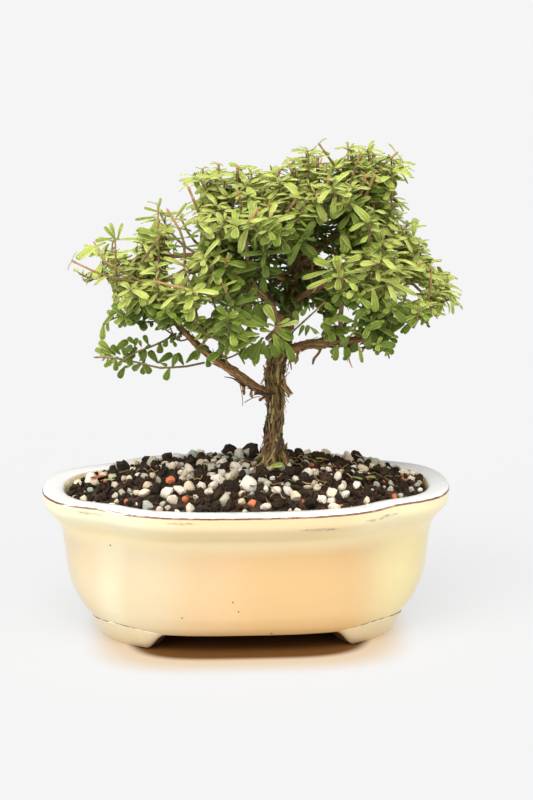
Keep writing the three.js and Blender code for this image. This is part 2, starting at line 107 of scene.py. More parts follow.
def node(tree, kind, feeds=None, **settings):
    made = tree.nodes.new(kind)
    row, place = divmod(len(tree.nodes), NODES_IN_A_ROW)
    made.location = (NODE_ASIDE * place, NODE_DOWN * row)
    for name, value in settings.items():
        setattr(made, name, value)
    feed(tree, made.inputs, feeds or {})
    return made


def maths(tree, operation, *values):
    """The result of a Math node over values and plain numbers"""
    return Value(tree, node(tree, "ShaderNodeMath", dict(enumerate(values)), operation=operation).outputs[0])


def vectors(tree, operation, first, second, output=0):
    """The result of a Vector Math node"""
    made = node(tree, "ShaderNodeVectorMath", {0: first, 1: second}, operation=operation)
    return Value(tree, made.outputs[output])


def mix(share, first, second):
    """A colour between two colours"""
    return node(share.tree, "ShaderNodeMix", {0: share, 6: first, 7: second}, data_type="RGBA").outputs[2]


def colour(red, green, blue):
    """The linear colour of an sRGB colour from 0 to 255"""
    parts = [part / 255 for part in (red, green, blue)]
    return (*[p / 12.92 if p <= 0.04045 else ((p + 0.055) / 1.055) ** 2.4 for p in parts], 1.0)


# %% New trees, and their place in other trees
def new_tree(name, kind, inputs, outputs):
    """A node tree with named sockets, and its input and output nodes' sockets"""
    tree = bpy.data.node_groups.new(name, kind)
    for way, sockets in (("INPUT", inputs), ("OUTPUT", outputs)):
        for label, socket in sockets.items():
            tree.interface.new_socket(label, in_out=way, socket_type=SOCKETS[socket])
    return tree, node(tree, "NodeGroupInput").outputs, node(tree, "NodeGroupOutput").inputs


def run_tree(piece, tree, **inputs):
    """Runs a Geometry Nodes tree on a piece and keeps the result as a plain mesh"""
    modifier = piece.modifiers.new(tree.name, "NODES")
    modifier.node_group = tree
    for name, value in inputs.items():
        modifier[tree.interface.items_tree[name].identifier] = value
    bpy.context.view_layer.update()
    graph = bpy.context.evaluated_depsgraph_get()
    made = bpy.data.meshes.new_from_object(
        piece.evaluated_get(graph), preserve_all_data_layers=True, depsgraph=graph)
    piece.modifiers.clear()
    piece.data = made
    made.name = piece.name
    kept = [material for material in made.materials if material]
    made.materials.clear()
    made.materials.append(kept[-1])
    made.polygons.foreach_set("material_index", [0] * len(made.polygons))
    return piece


# %% [markdown]
# ## Meshes with attributes
# Shaders often need to know where they are on a piece: how far along a leaf, how near an
# edge. A named attribute on the mesh carries such a number to the material, and it follows
# the surface whatever way the piece lies.

# %% Meshes, attributes and the frame
def store(mesh, name, values, kind="FLOAT", domain="POINT"):
    layer = mesh.attributes.new(name, kind, domain)
    layer.data.foreach_set("vector" if kind == "FLOAT_VECTOR" else "value", np.ravel(values))


def new_mesh(name, vertices, faces, edges=(), smooth_up_to=180.0, **attributes):
    """An object in metres from vertices in millimetres. Edges bent more than smooth_up_to
    degrees stay sharp"""
    mesh = bpy.data.meshes.new(name)
    mesh.from_pydata((np.asarray(vertices, float) * MM).tolist(), [list(e) for e in edges],
                     [list(f) for f in faces])
    for label, values in attributes.items():
        store(mesh, label, np.asarray(values, np.float32))
    if len(faces):
        mesh.shade_smooth()
        mesh.set_sharp_from_angle(angle=math.radians(smooth_up_to))
    return bpy.data.objects.new(name, mesh)


def into_scene(piece):
    bpy.context.scene.collection.objects.link(piece)
    return piece


def dress(piece, replaced=()):
    """Gives a finished piece its place in the frame"""
    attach(piece, "root")
    if replaced:
        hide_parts(*replaced)
    mesh = piece.data
    triangles = sum(len(face.vertices) - 2 for face in mesh.polygons)
    print(f"{piece.name}: {triangles} triangles, {len(mesh.materials)} material")
    return piece


def skin(rows, sides):
    """The faces between rows of points that run round a body"""
    index = np.arange(rows * sides).reshape(rows, sides)
    low, high = index[:-1], index[1:]
    return np.stack([low, np.roll(low, -1, 1), np.roll(high, -1, 1), high], 2).reshape(-1, 4)


# %% [markdown]
# ## The camera
# A camera sees an object as a photograph does when it stands at the same place and has the
# same angle of view. It stands 0.7 m away, a little over the tree's top, and looks down by
# 12.5 degrees. The pot is turned 3 degrees, so the camera is turned about it instead.

# %% Camera
CAMERA_SIDE = 0.00908
CAMERA_DISTANCE = 0.700
CAMERA_HEIGHT = 0.2596
CAMERA_PITCH = 0.2183
CAMERA_TURN = 0.05406
CAMERA_LENS = 71.62

camera = into_scene(bpy.data.objects.new("camera", bpy.data.cameras.new("camera")))
camera.data.lens = CAMERA_LENS
camera.data.sensor_width = 36
straight = Vector((CAMERA_SIDE, -CAMERA_DISTANCE, CAMERA_HEIGHT))
camera.location = Matrix.Rotation(-CAMERA_TURN, 3, "Z") @ straight
camera.rotation_euler = (math.pi / 2 - CAMERA_PITCH, 0, -CAMERA_TURN)
bpy.context.scene.camera = camera
print("camera at", [round(x, 3) for x in camera.location])

# %% [markdown]
# ## Floor and light
# A product is often shot on white paper in a white tent: light comes from all round, with large soft lamps to
# shape it. Here the world is the tent, three suns with a wide angle are the lamps, and a strip lamp gives the
# glaze its upright highlight. The world looks the same pale grey to the camera as the lit floor, so no
# horizon shows. In so bright a light the paper shows hardly any shade, so the paper glows a little. Close to
# the pot, light and shade are painted on the floor as a squared oval, which four powers of the place give: a
# dark painted shadow under the pot, and a warm painted reflection of the pot round it.

# %% Floor and light
TENT = 0.36
BACKGROUND = 0.913
FLOOR_SIZE = 6.0
WHITE, BLACK = (1, 1, 1, 1), (0, 0, 0, 1)
PAPER = (0.14, 0.14, 0.14, 1)
PAPER_GLOW, WARM_REFLECTION = (0.692, 0.694, 0.7, 1), (0.62, 0.44, 0.25, 1)
# the oval's stretch along x and y, and where the painted shadow under the pot and the painted warm reflection
# round it fade out
OVAL = (1.22, 1.35, 1)
UNDER_POT_SHADOW, WARM_REFLECTION_REACH = (0.063, 0.07), (0.07, 0.094)
# energy, degrees round and up, the angle that softens its shade, and tint
SUNS = {"lamp_top": (2.75, -20, 68, 40, (1, 0.985, 0.96)),
        "lamp_left": (1.35, -56, 28, 40, (1, 0.985, 0.96)),
        "lamp_right": (1.15, 48, 34, 70, (1, 0.99, 0.97))}
# energy, degrees round and up, distance, width and height of the strip lamp
STRIP_LAMP, STRIP_AWAY, STRIP_SIZE = (11, -75, 14), 0.9, (0.16, 0.9)
AIM = Vector((0, 0, 0.1))

bpy.context.scene.view_settings.view_transform = "Standard"
world = bpy.data.worlds.new("tent")
bpy.context.scene.world = world
world.use_nodes = True
tent = world.node_tree
tent.nodes.clear()
light, backdrop = (node(tent, "ShaderNodeBackground", {"Color": WHITE, "Strength": strength}).outputs[0]
                   for strength in (TENT, BACKGROUND))
by_camera = node(tent, "ShaderNodeLightPath").outputs["Is Camera Ray"]
either = node(tent, "ShaderNodeMixShader", {0: by_camera, 1: light, 2: backdrop}).outputs[0]
node(tent, "ShaderNodeOutputWorld", {"Surface": either})


def lamp(name, kind, energy, turn, rise, reach=1.0):
    """A lamp that shines on the tree from turn degrees round and rise degrees up"""
    data = bpy.data.lights.new(name, kind)
    data.energy = energy
    made = into_scene(bpy.data.objects.new(name, data))
    up = math.radians(rise)
    away = Matrix.Rotation(math.radians(turn), 3, "Z") @ Vector((0, -math.cos(up), math.sin(up)))
    made.location = away * reach + AIM
    made.rotation_euler = away.to_track_quat("Z", "Y").to_euler()
    return made


for name, (energy, turn, rise, spread, tint) in SUNS.items():
    sun = lamp(name, "SUN", energy, turn, rise)
    sun.data.angle, sun.data.color = math.radians(spread), tint
strip = lamp("lamp_strip", "AREA", *STRIP_LAMP, reach=STRIP_AWAY)
strip.data.shape = "RECTANGLE"
strip.data.size, strip.data.size_y = STRIP_SIZE
strip.visible_diffuse = False

paper = bpy.data.materials.new("white_paper")
paper.use_nodes = True
tree = paper.node_tree
power = vectors(tree, "MULTIPLY", node(tree, "ShaderNodeTexCoord").outputs["Object"], OVAL)
for _ in range(2):
    power = vectors(tree, "MULTIPLY", power, power)
away = vectors(tree, "DOT_PRODUCT", power, (1, 1, 0), "Value").maths("POWER", 0.25)
# painted shadow: under the pot the floor is dark brown and does not glow, and round it a painted warm
# reflection of the pot glows
clear = away.step(*UNDER_POT_SHADOW)
shine = mix(away.step(*WARM_REFLECTION_REACH), WARM_REFLECTION, PAPER_GLOW)
feed(tree, tree.nodes["Principled BSDF"].inputs,
     {"Base Color": mix(clear, colour(100, 66, 34), PAPER), "Emission Color": mix(clear, BLACK, shine),
      "Emission Strength": 1, "Roughness": 0.95, "Specular IOR Level": 0})
half = FLOOR_SIZE / 2 / MM
floor = into_scene(new_mesh("floor", [(-half, -half, 0), (half, -half, 0), (half, half, 0), (-half, half, 0)],
                            [(0, 1, 2, 3)]))
floor.data.materials.append(paper)

# %% [markdown]
# ## Effects that several finishes share
# Real surfaces are never one colour. The group "mottle" gives a broad and a fine mask from
# two noises, for clouds and freckles in any colour. The group "pits" gives the height of
# small round holes, as in fired clay, lava and pumice. Both read a vector, so the material
# says which coordinates they follow. A finish is then a list of colours laid one over the
# other, as a painter would, each with a mask of its own.

# %% Shared groups
FINER = 5.3
PIT_EDGE = 1.9


def mottle_group():
    tree, given, out = new_tree("mottle", "ShaderNodeTree",
                                {"Vector": "vector", "Size": "float", "Stretch": "vector"},
                                {"Broad": "float", "Fine": "float", "Height": "float"})
    scale = maths(tree, "DIVIDE", 1.0, given["Size"])
    at = vectors(tree, "MULTIPLY", given["Vector"], given["Stretch"])
    noises = ({"Scale": scale, "Detail": 3.0}, {"Scale": scale * FINER, "Detail": 4.0, "Roughness": 0.6})
    broad, fine = (Value(tree, node(tree, "ShaderNodeTexNoise", {"Vector": at, **feeds}).outputs[0])
                   for feeds in noises)
    feed(tree, out, {"Broad": broad.step(0.36, 0.64), "Fine": fine.step(0.36, 0.66),
                     "Height": fine * 0.5 + broad})
    return tree


def pits_group():
    tree, given, out = new_tree("pits", "ShaderNodeTree",
                                {"Vector": "vector", "Size": "float", "Share": "float", "Radius": "float"},
                                {"Mask": "float", "Height": "float"})
    scale = maths(tree, "DIVIDE", 1.0, given["Size"])
    cells = node(tree, "ShaderNodeTexVoronoi", {"Vector": given["Vector"], "Scale": scale}).outputs
    number = node(tree, "ShaderNodeSeparateColor", {0: cells["Color"]}).outputs[0]
    chosen = maths(tree, "LESS_THAN", number, given["Share"])
    radius = Value(tree, given["Radius"])
    mask = Value(tree, cells["Distance"]).step(radius, radius * PIT_EDGE, 1.0, 0.0) * chosen
    feed(tree, out, {"Mask": mask, "Height": maths(tree, "SUBTRACT", 1.0, mask)})
    return tree


MOTTLE, PITS = mottle_group(), pits_group()


# %% Finishes
class Look:
    """A finish in the making: its base colour, and the ways to read masks for the next one"""

    def __init__(self, tree):
        self.tree, self.base = tree, None
        self.place = node(tree, "ShaderNodeTexCoord").outputs["Object"]

    def over(self, mask, *tint):
        """Lays a colour over the base by a mask"""
        self.base = mix(mask, self.base, colour(*tint) if len(tint) == 3 else tint[0])

    def read(self, name, output="Fac"):
        """A named attribute of the mesh"""
        made = node(self.tree, "ShaderNodeAttribute", attribute_name=name, attribute_type="GEOMETRY")
        return Value(self.tree, made.outputs[output])

    def sides(self):
        """The place's x, y and z in millimetres"""
        parts = node(self.tree, "ShaderNodeSeparateXYZ", {0: self.place}).outputs
        return [Value(self.tree, part) / MM for part in parts]

    def group(self, group, **feeds):
        outputs = node(self.tree, "ShaderNodeGroup", feeds, node_tree=group).outputs
        return SimpleNamespace(**{output.name.lower(): Value(self.tree, output) for output in outputs})

    def mottle(self, size, stretch=(1, 1, 1), at=None):
        """Broad, fine and height of patches of a size in millimetres"""
        return self.group(MOTTLE, Vector=at or self.place, Size=size * MM, Stretch=stretch)

    def pits(self, size, share, radius=0.18):
        """Mask and height of holes, in a share of cells of a size in millimetres"""
        return self.group(PITS, Vector=self.place, Size=size * MM, Share=share, Radius=radius)


def finish(name, build, **constants):
    """A material. build(look) lays its colours and gives its roughness and its relief, a list
    of (height, depth in mm). Constants are set on the shader's own sockets"""
    material = bpy.data.materials.new(name)
    material.use_nodes = True
    look = Look(material.node_tree)
    rough, relief = build(look)
    feeds = {label.replace("_", " "): value for label, value in constants.items()}
    normal = {}
    for height, depth in relief:
        bump = {"Height": height, "Distance": depth * MM, "Strength": 1.0, **normal}
        normal = {"Normal": node(look.tree, "ShaderNodeBump", bump).outputs[0]}
    feeds |= {"Base Color": look.base, "Roughness": rough, **normal}
    feed(look.tree, look.tree.nodes["Principled BSDF"].inputs, feeds)
    return material


# %% [markdown]
# ## The pot
# The real pot is slip-cast in one piece: an oval bowl whose plan is drawn in at four places,
# with a flat rim, a cove under its lip and four bracket feet. It could be cut from blocks,
# but every level of it is the same plan at another size, so one skin is wound over levels:
# out under the floor, down and round the feet, up the wall, over the rim and down inside.

# %% The pot's plan and levels
_, pot_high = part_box("pot")
HALF_LENGTH, HALF_DEPTH = pot_high.x / MM, pot_high.y / MM
FOOT_HEIGHT = 7.5
FOOT_WIDTH = 10
FLOOR_TOP = 13
DRAIN_PLACES = (-31, 31)
DRAIN_RADIUS = 7.5
POT_SIDES = 384
BASE_INSET = (HALF_LENGTH - 69, HALF_DEPTH - 42)
CORNERS = (0.785, 2.356, 3.927, 5.498)
NOTCH_SPREAD = 0.23
# depth of the corner notch and squareness at the mouth
MOUTH = (0.068, 2.33)
turns = 2 * np.pi * (np.arange(POT_SIDES) + 0.5) / POT_SIDES

# height, inset along the length, inset along the depth, depth of the corner notch, squareness
WALL_OUTSIDE = np.array([
    (7.5, BASE_INSET[0], BASE_INSET[1], 0.012, 2.9),
    (10.5, BASE_INSET[0] - 3.5, BASE_INSET[1] - 1.8, 0.018, 2.75),
    (15.5, BASE_INSET[0] - 7.8, BASE_INSET[1] - 3.4, 0.026, 2.6),
    (26.5, BASE_INSET[0] - 12.4, BASE_INSET[1] - 4.9, 0.037, 2.43),
    (46, 8.2, 7.8, 0.05, 2.33), (52, 6.2, 6, 0.058, 2.33), (56.5, 2.6, 2.6, 0.065, 2.33),
    (59.5, 0.5, 0.5, *MOUTH), (61, 0.1, 0.1, *MOUTH), (64.6, 0, 0, *MOUTH)])
RIM = [(0.08, 65.1), (0.3, 65.55), (0.7, 65.85), (1.3, 66), (3.5, 66.05), (6.5, 66), (8.3, 65.9),
       (9.1, 65.6), (9.6, 65.1)]
WALL_INSIDE = np.array([
    (64, 10.1, 10.1, *MOUTH), (54, 12.4, 12, 0.058, 2.33), (33, 15.5, 13.2, 0.04, 2.33),
    (16, 19.5, 15, 0.03, 2.5), (13, 24, 18.5, 0.012, 2.7)])


def smooth_read(table, places):
    """Reads a table's other columns at places in its first, with no kink and no overshoot"""
    rows = table[np.argsort(table[:, 0])]
    at, values = rows[:, 0], rows[:, 1:]
    gap = np.diff(at)[:, None]
    slope = np.diff(values, axis=0) / gap
    product, total = slope[:-1] * slope[1:], slope[:-1] + slope[1:]
    middle = np.where(product > 0, 2 * product / np.where(total == 0, 1, total), 0)
    tangent = np.vstack([slope[:1], middle, slope[-1:]])
    index = np.clip(np.searchsorted(at, places, side="right") - 1, 0, len(gap) - 1)
    share = ((places - at[index]) / gap[index, 0])[:, None]
    low, high, run = values[index], values[index + 1], gap[index]
    return ((1 + 2 * share) * (1 - share) ** 2 * low + share ** 2 * (3 - 2 * share) * high
            + run * share * (1 - share) ** 2 * tangent[index]
            + run * share ** 2 * (share - 1) * tangent[index + 1])


def plan(length, depth, notch, squareness, around=turns):
    """The squared oval at each turn, drawn in at its four corners"""
    draw = 1 - sum(notch * np.exp(-((np.angle(np.exp(1j * (around - corner))) / NOTCH_SPREAD) ** 2))
                   for corner in CORNERS)
    across, along = np.cos(around), np.sin(around)
    x = length * np.sign(across) * np.abs(across) ** (2 / squareness) * draw
    y = depth * np.sign(along) * np.abs(along) ** (2 / squareness) * draw
    return x, y


def pot_row(height, insets, outward=0.0):
    """One row of the pot's skin: a height for each turn, and the plan's four numbers"""
    inset_length, inset_depth, notch, squareness = insets
    x, y = plan(HALF_LENGTH - inset_length + outward, HALF_DEPTH - inset_depth + outward, notch, squareness)
    return np.stack([x, y, height + np.zeros(POT_SIDES)], 1)


# %% The feet: where the skin dips to the ground, and the arched line above each foot
FOOT_STARTS = (0.055, 0.14)
FOOT_ENDS = (0.94, 1.14)
CREASE_LOW, CREASE_ARCH = 8.3, 2.4
FOOT_TUCK = 1.6
BARE_ROWS = 6


def soft(value):
    value = np.clip(value, 0, 1)
    return value * value * (3 - 2 * value)


quarter_turn = np.arccos(np.abs(np.cos(turns)))
lift = np.maximum(soft((FOOT_STARTS[1] - quarter_turn) / (FOOT_STARTS[1] - FOOT_STARTS[0])),
                  soft((quarter_turn - FOOT_ENDS[0]) / (FOOT_ENDS[1] - FOOT_ENDS[0])))
sole = FOOT_HEIGHT * lift
foot_share = 1 - lift
arch = np.sin(np.pi * np.clip((quarter_turn - 0.05) / 1.07, 0, 1)) ** 0.8
crease = CREASE_LOW + CREASE_ARCH * arch
print("feet stand on", int((sole < 0.01).sum()), "of", POT_SIDES, "turns")


def pot_rows():
    """The rows of the skin, and the number of the row at the crease and at the rim's edge"""
    base = WALL_OUTSIDE[0, 1:]
    tuck = FOOT_TUCK * arch * foot_share
    start = sole + 0.35 + 0.5 * foot_share
    under = [(FOOT_WIDTH + 6, FOOT_HEIGHT), (FOOT_WIDTH + 2.2, FOOT_HEIGHT),
             (FOOT_WIDTH + 0.5, FOOT_HEIGHT - 1.6 * foot_share),
             (FOOT_WIDTH, FOOT_HEIGHT - 6.3 * foot_share), (FOOT_WIDTH - 0.7, sole),
             (1.4 + 1.2 * foot_share + tuck, sole), (0.5 + 0.6 * foot_share + tuck, sole + 0.16),
             (0.1 + 0.2 * foot_share + tuck, start)]
    rows = [pot_row(height, base, -inset) for inset, height in under]
    at_crease = smooth_read(WALL_OUTSIDE, crease).T
    foot_edge = base[:, None]
    for share in (0.3, 0.6, 0.85, 0.97):
        height = start + (crease - start) * share
        insets = foot_edge + (at_crease - foot_edge) * share ** 0.85
        rows.append(pot_row(height, insets, 0.28 * arch * share - tuck * (1 - share) ** 1.6))
    rows.append(pot_row(crease, at_crease, -0.16 * arch))
    crease_row = len(rows) - 1
    for above in (0.35, 1.0, 2.2, 4.0):
        height = crease + above + (4.4 - 0.2 * CREASE_ARCH) * (above / 4.0) ** 2 * (1 - arch)
        rows.append(pot_row(height, smooth_read(WALL_OUTSIDE, height).T))
    level = max(rows[-1][:, 2])
    for height in (*np.linspace(level + 1.2, 50, 18), *np.linspace(51, 61, 14), 62.2, 63.4, 64.3, 64.7):
        rows.append(pot_row(height, smooth_read(WALL_OUTSIDE, np.full(POT_SIDES, height)).T))
    for inset, height in RIM:
        rows.append(pot_row(height, (inset, inset, *MOUTH)))
    edge_row = len(rows) - len(RIM) + 1
    for height in (64, 61, 57, 50, 42, 33, 24, 18, 15.5, 14, 13.2, FLOOR_TOP):
        rows.append(pot_row(height, smooth_read(WALL_INSIDE, np.full(POT_SIDES, float(height))).T))
    return np.array(rows), crease_row, edge_row


rows, crease_row, edge_row = pot_rows()
print("pot rows:", len(rows))


# %% Close the floor round its drain holes, and measure along the skin
def hole_ring(x, z, sides=28):
    around = 2 * np.pi * np.arange(sides) / sides
    x = x + DRAIN_RADIUS * np.cos(around)
    return np.stack([x, DRAIN_RADIUS * np.sin(around), np.full(sides, z)], 1)


def close_pot(rows):
    """The skin's vertices and faces, with its two flat ends filled round the drain holes"""
    count, sides = rows.shape[:2]
    vertices = [*rows.reshape(-1, 3)]
    faces = [tuple(f) for f in skin(count, sides)]
    starts = {}
    for end, z in ((0, FOOT_HEIGHT), (count - 1, FLOOR_TOP)):
        loops = [list(range(end * sides, (end + 1) * sides))]
        for x in DRAIN_PLACES:
            ring = hole_ring(x, z)
            starts[end, x] = len(vertices)
            loops.append(list(range(len(vertices), len(vertices) + len(ring))))
            vertices.extend(ring)
        flat = [index for loop in loops for index in loop]
        for face in tessellate_polygon([[Vector(vertices[i]) for i in loop] for loop in loops]):
            a, b, c = (np.array(vertices[flat[i]]) for i in face)
            upward = np.cross(b - a, c - a)[2] > 0
            corners = [flat[i] for i in face]
            faces.append(tuple(corners if upward == (end > 0) else corners[::-1]))
    for x in DRAIN_PLACES:
        low, high = starts[0, x], starts[count - 1, x]
        ring = len(hole_ring(x, 0))
        for i in range(ring):
            j = (i + 1) % ring
            faces.append((low + j, low + i, high + i, high + j))
    return np.array(vertices), faces


def running_length(rows, zero_row):
    """How far each point lies along its skin from one row, in millimetres"""
    steps = np.linalg.norm(np.diff(rows, axis=0), axis=2)
    along = np.vstack([np.zeros(rows.shape[1]), np.cumsum(steps, axis=0)])
    return along - along[zero_row]


def wobble(points, size, height, seed):
    """Small uneven moves from a noise, one number a point"""
    shift = Vector((seed * 7.1, seed * 3.3, seed * 5.7))
    return np.array([height * noise.noise(Vector(p) / size + shift) for p in points])


vertices, faces = close_pot(rows)
flat_parts = len(vertices) - rows.shape[0] * rows.shape[1]
uneven = wobble(vertices, 26, 0.28, 1) * np.clip((vertices[:, 2] - 12) / 10, 0, 1)
away = vertices * (1, 1, 0)
away /= np.maximum(np.linalg.norm(away, axis=1), 1)[:, None]
vertices = vertices + away * uneven[:, None]
from_crease = np.append(running_length(rows, crease_row).ravel(), np.full(flat_parts, -30))
from_edge = np.append(-running_length(rows, edge_row).ravel(), np.full(flat_parts, 90))
on_foot = np.append(np.tile(arch * (foot_share > 0.02), len(rows)), np.zeros(flat_parts))
bare = np.append(np.repeat(np.arange(len(rows)) < BARE_ROWS, POT_SIDES), np.ones(flat_parts))
pot = into_scene(new_mesh("pot_glazed", vertices, faces, smooth_up_to=38, from_crease=from_crease,
                          from_edge=from_edge, on_foot=on_foot, bare=bare))
print("pot wall unevenness up to", round(float(abs(uneven).max()), 2), "mm")

# %% [markdown]
# ## Cream glaze
# A cream glaze is thick and milky on the wall, where it pools it turns warm, and where it runs thin over a
# sharp edge the brown clay shows through. So the colour is mostly one cream, clouded by the mottle group,
# with a brown line along the rim's edge that the attribute from_edge places, fine crazing under the lip, a
# few iron freckles, and bare clay underneath. Light is painted into it as well. The wall and the lip are
# paler on the lit left, and warmer to the right, partly by the glaze's own colour and partly by a painted
# warm reflection. A painted highlight lies on the fold at the left notch, the cove under the lip is painted
# lighter against the lip's shade, and the flat top of the rim is painted near white as glare.

# %% Glaze finish
# tones of the wall and of the lip from left to right: the first, then from where to where in millimetres each
# next one comes in, and its colour. They paint light: paler on the lit left, and warmer to the right, partly
# the glaze's own colour and partly a painted warm reflection. Both are paler again at the right end.
WALL_LIGHT_TONES = [(227, 211, 174), ((-46, -20), (233, 199, 150)), ((-20, 12), (233, 191, 129)),
              ((40, 66), (240, 226, 168))]
LIP_LIGHT_TONES = [(240, 236, 200), ((-60, -20), (240, 214, 167)), ((35, 60), (250, 238, 192))]
# heights of the cove, which is painted lighter against the shade under the lip, and of the lip
LIT_COVE, LIP = (44, 53), (55, 60)
# the painted highlight on the fold at the left notch, the reflection of a long soft lamp: where it rises and
# falls
FOLD_HIGHLIGHT = (-70, -62), (-52, -59)
# how far the flat rim reaches in from its edge
RIM_FLAT = 9.4
# hairline cracks under the lip in front: middle, distance from the rim's edge, reach, width
CRACKS = [(-70, 2.8, 7, 0.9), (-29, 2.6, 8, 0.7), (29, 6.4, 10, 1.0), (57, 4.2, 9, 1.0)]
# pinholes in the front of the wall: place and radius
PINHOLES = [(-61, -33.5, 47.5, 0.4), (-30, -44, 17.5, 0.35), (-59, -29, 7, 0.5), (9, -43, 9, 0.35),
            (-8, -46.5, 25, 0.3), (-5.5, -46, 20.5, 0.3), (-48, -40, 30, 0.25), (-20, -47, 34, 0.25)]


def toned(x, first, *others):
    """A colour that changes from left to right"""
    base = colour(*first)
    for reach, tint in others:
        base = mix(x.step(*reach), base, colour(*tint))
    return base


def glaze(look):
    clouds, small, streaks = look.mottle(34), look.mottle(3.2), look.mottle(0.9, (0.07, 0.07, 1))
    x, y, z = look.sides()
    # painted light: the wall's tones, paler on the lit left, warmer to the right partly by a painted warm
    # reflection
    look.base = toned(x, *WALL_LIGHT_TONES)
    # painted highlight on the fold at the left notch
    look.over(x.step(*FOLD_HIGHLIGHT[0]) * x.step(*FOLD_HIGHLIGHT[1]) * 0.6, 234, 228, 194)
    look.over(clouds.broad * 0.25, 222, 190, 144)
    # painted light: the cove under the lip is lighter, against the shade the lip throws
    look.over(z.step(*LIT_COVE, 0.0, 0.85), 252, 232, 182)
    # painted light: the lip's tones, as the wall's
    look.over(z.step(*LIP), toned(x, *LIP_LIGHT_TONES))
    edge = look.read("from_edge") + (clouds.height * 0.9 + small.height - 1.3) * 0.4
    # painted highlight: the flat top of the rim is near white, as the light's glare on it
    look.over(edge.step(0.4, 0.0) * edge.step(-RIM_FLAT - 1.1, -RIM_FLAT + 0.4), 242, 241, 240)
    line = edge.step(-0.2, 0.1) * edge.step(1.1, 0.65)
    look.over(line * clouds.fine.step(0.0, 0.4, 0.75, 1.0), 118, 70, 42)
    for middle, from_edge, reach, width in CRACKS:
        along, down = (x - middle) / reach, (edge - from_edge) / width
        crack = (along * along + down * down).step(1.0, 0.5) * y.step(-10, -20)
        look.over(crack * streaks.fine.step(0.35, 0.85, 0.0, 0.75), 112, 88, 58)
    for *middle, radius in PINHOLES:
        apart = vectors(look.tree, "DISTANCE", look.place, Vector(middle) * MM, "Value") / MM
        look.over(apart.step(1.6 * radius, 0.9 * radius, 0.0, 0.85), 96, 54, 30)
    pinholes = look.pits(9.0, 0.22, 0.022)
    look.over(pinholes.mask * 0.8, 120, 80, 50)
    foot, crease_at = look.read("on_foot"), look.read("from_crease")
    look.over(crease_at.step(0.1, -0.6) * foot.step(0.02, 0.3) * 0.8, 224, 208, 172)
    groove = crease_at.step(-0.5, -0.12) * crease_at.step(0.5, 0.1) * foot.step(0.25, 0.7)
    look.over(groove * small.broad.step(0.1, 0.8, 0.3, 1.0) * 0.8, 88, 78, 58)
    bare = look.read("bare")
    look.over(bare, 104, 68, 42)
    inside = edge.maths("LESS_THAN", -RIM_FLAT)
    look.over(inside * small.broad.step(0.2, 0.9, 0.25, 0.75), 226, 202, 150)
    rough = bare * 0.6 + small.fine.step(0.0, 1.0, 0.13, 0.2)
    return rough, [(clouds.height, 0.25), (small.height, 0.02), (pinholes.height, 0.2)]


pot.data.materials.append(finish("cream_glaze", glaze, IOR=1.5, Coat_Weight=0.35, Coat_Roughness=0.06))
dress(pot, ["pot"])

# %% [markdown]
# ## Drain screens
# Plastic mesh lies over the drain holes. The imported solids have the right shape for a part
# that only shows from below, so they stay and get a moulded plastic finish.

# %% Screen finish
def moulded_plastic(look):
    grain = look.mottle(2.0)
    look.base = colour(38, 42, 42)
    look.over(grain.broad, 54, 58, 56)
    return grain.fine.step(0.0, 1.0, 0.42, 0.6), [(grain.height, 0.04)]


plastic = finish("black_plastic", moulded_plastic)
for name in ("drain_screen_1", "drain_screen_2"):
    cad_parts[name].data.materials.clear()
    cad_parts[name].data.materials.append(plastic)
print("screens finished")

# %% [markdown]
# ## The soil
# Bonsai soil is a heap of graded grains over dark fines. Modelling each grain down to the
# pot's floor would be waste, as only the top layer shows. A solid bed fills the pot and
# carries the fines as relief, and real grains lie on it.

# %% The bed
SOIL_EDGE = 62.3
MOUND_MIDDLE = (5, 2)
MOUND_HEIGHT, MOUND_FALL = 11, 2.6
RIM_WIDTH, SOIL_INSET = 9.5, 11.4
BED_SIDES, BED_RINGS, BED_MIDDLE = 220, 56, 0.012
# heights of the bed's hidden wall, and how far it stays clear of the pot
BED_WALL = ((FLOOR_TOP + 0.3, 2), (17, 1), (33, 0.9), (54, 0.9), (60, 0.9))


def outwards(x, y):
    """How near a point is to the pot's inner wall: 0 in the middle, 1 at the wall"""
    power = MOUTH[1]
    return ((np.abs(x) / (HALF_LENGTH - RIM_WIDTH)) ** power
            + (np.abs(y) / (HALF_DEPTH - RIM_WIDTH)) ** power) ** (1 / power)


def soil_top(x, y):
    near = np.minimum(outwards(x - MOUND_MIDDLE[0], y - MOUND_MIDDLE[1]), 1)
    lump = 0.5 * np.sin(0.31 * x + 1) * np.cos(0.37 * y) + 0.35 * np.sin(0.12 * x - 0.21 * y)
    return SOIL_EDGE + MOUND_HEIGHT * (1 - near ** MOUND_FALL) + lump


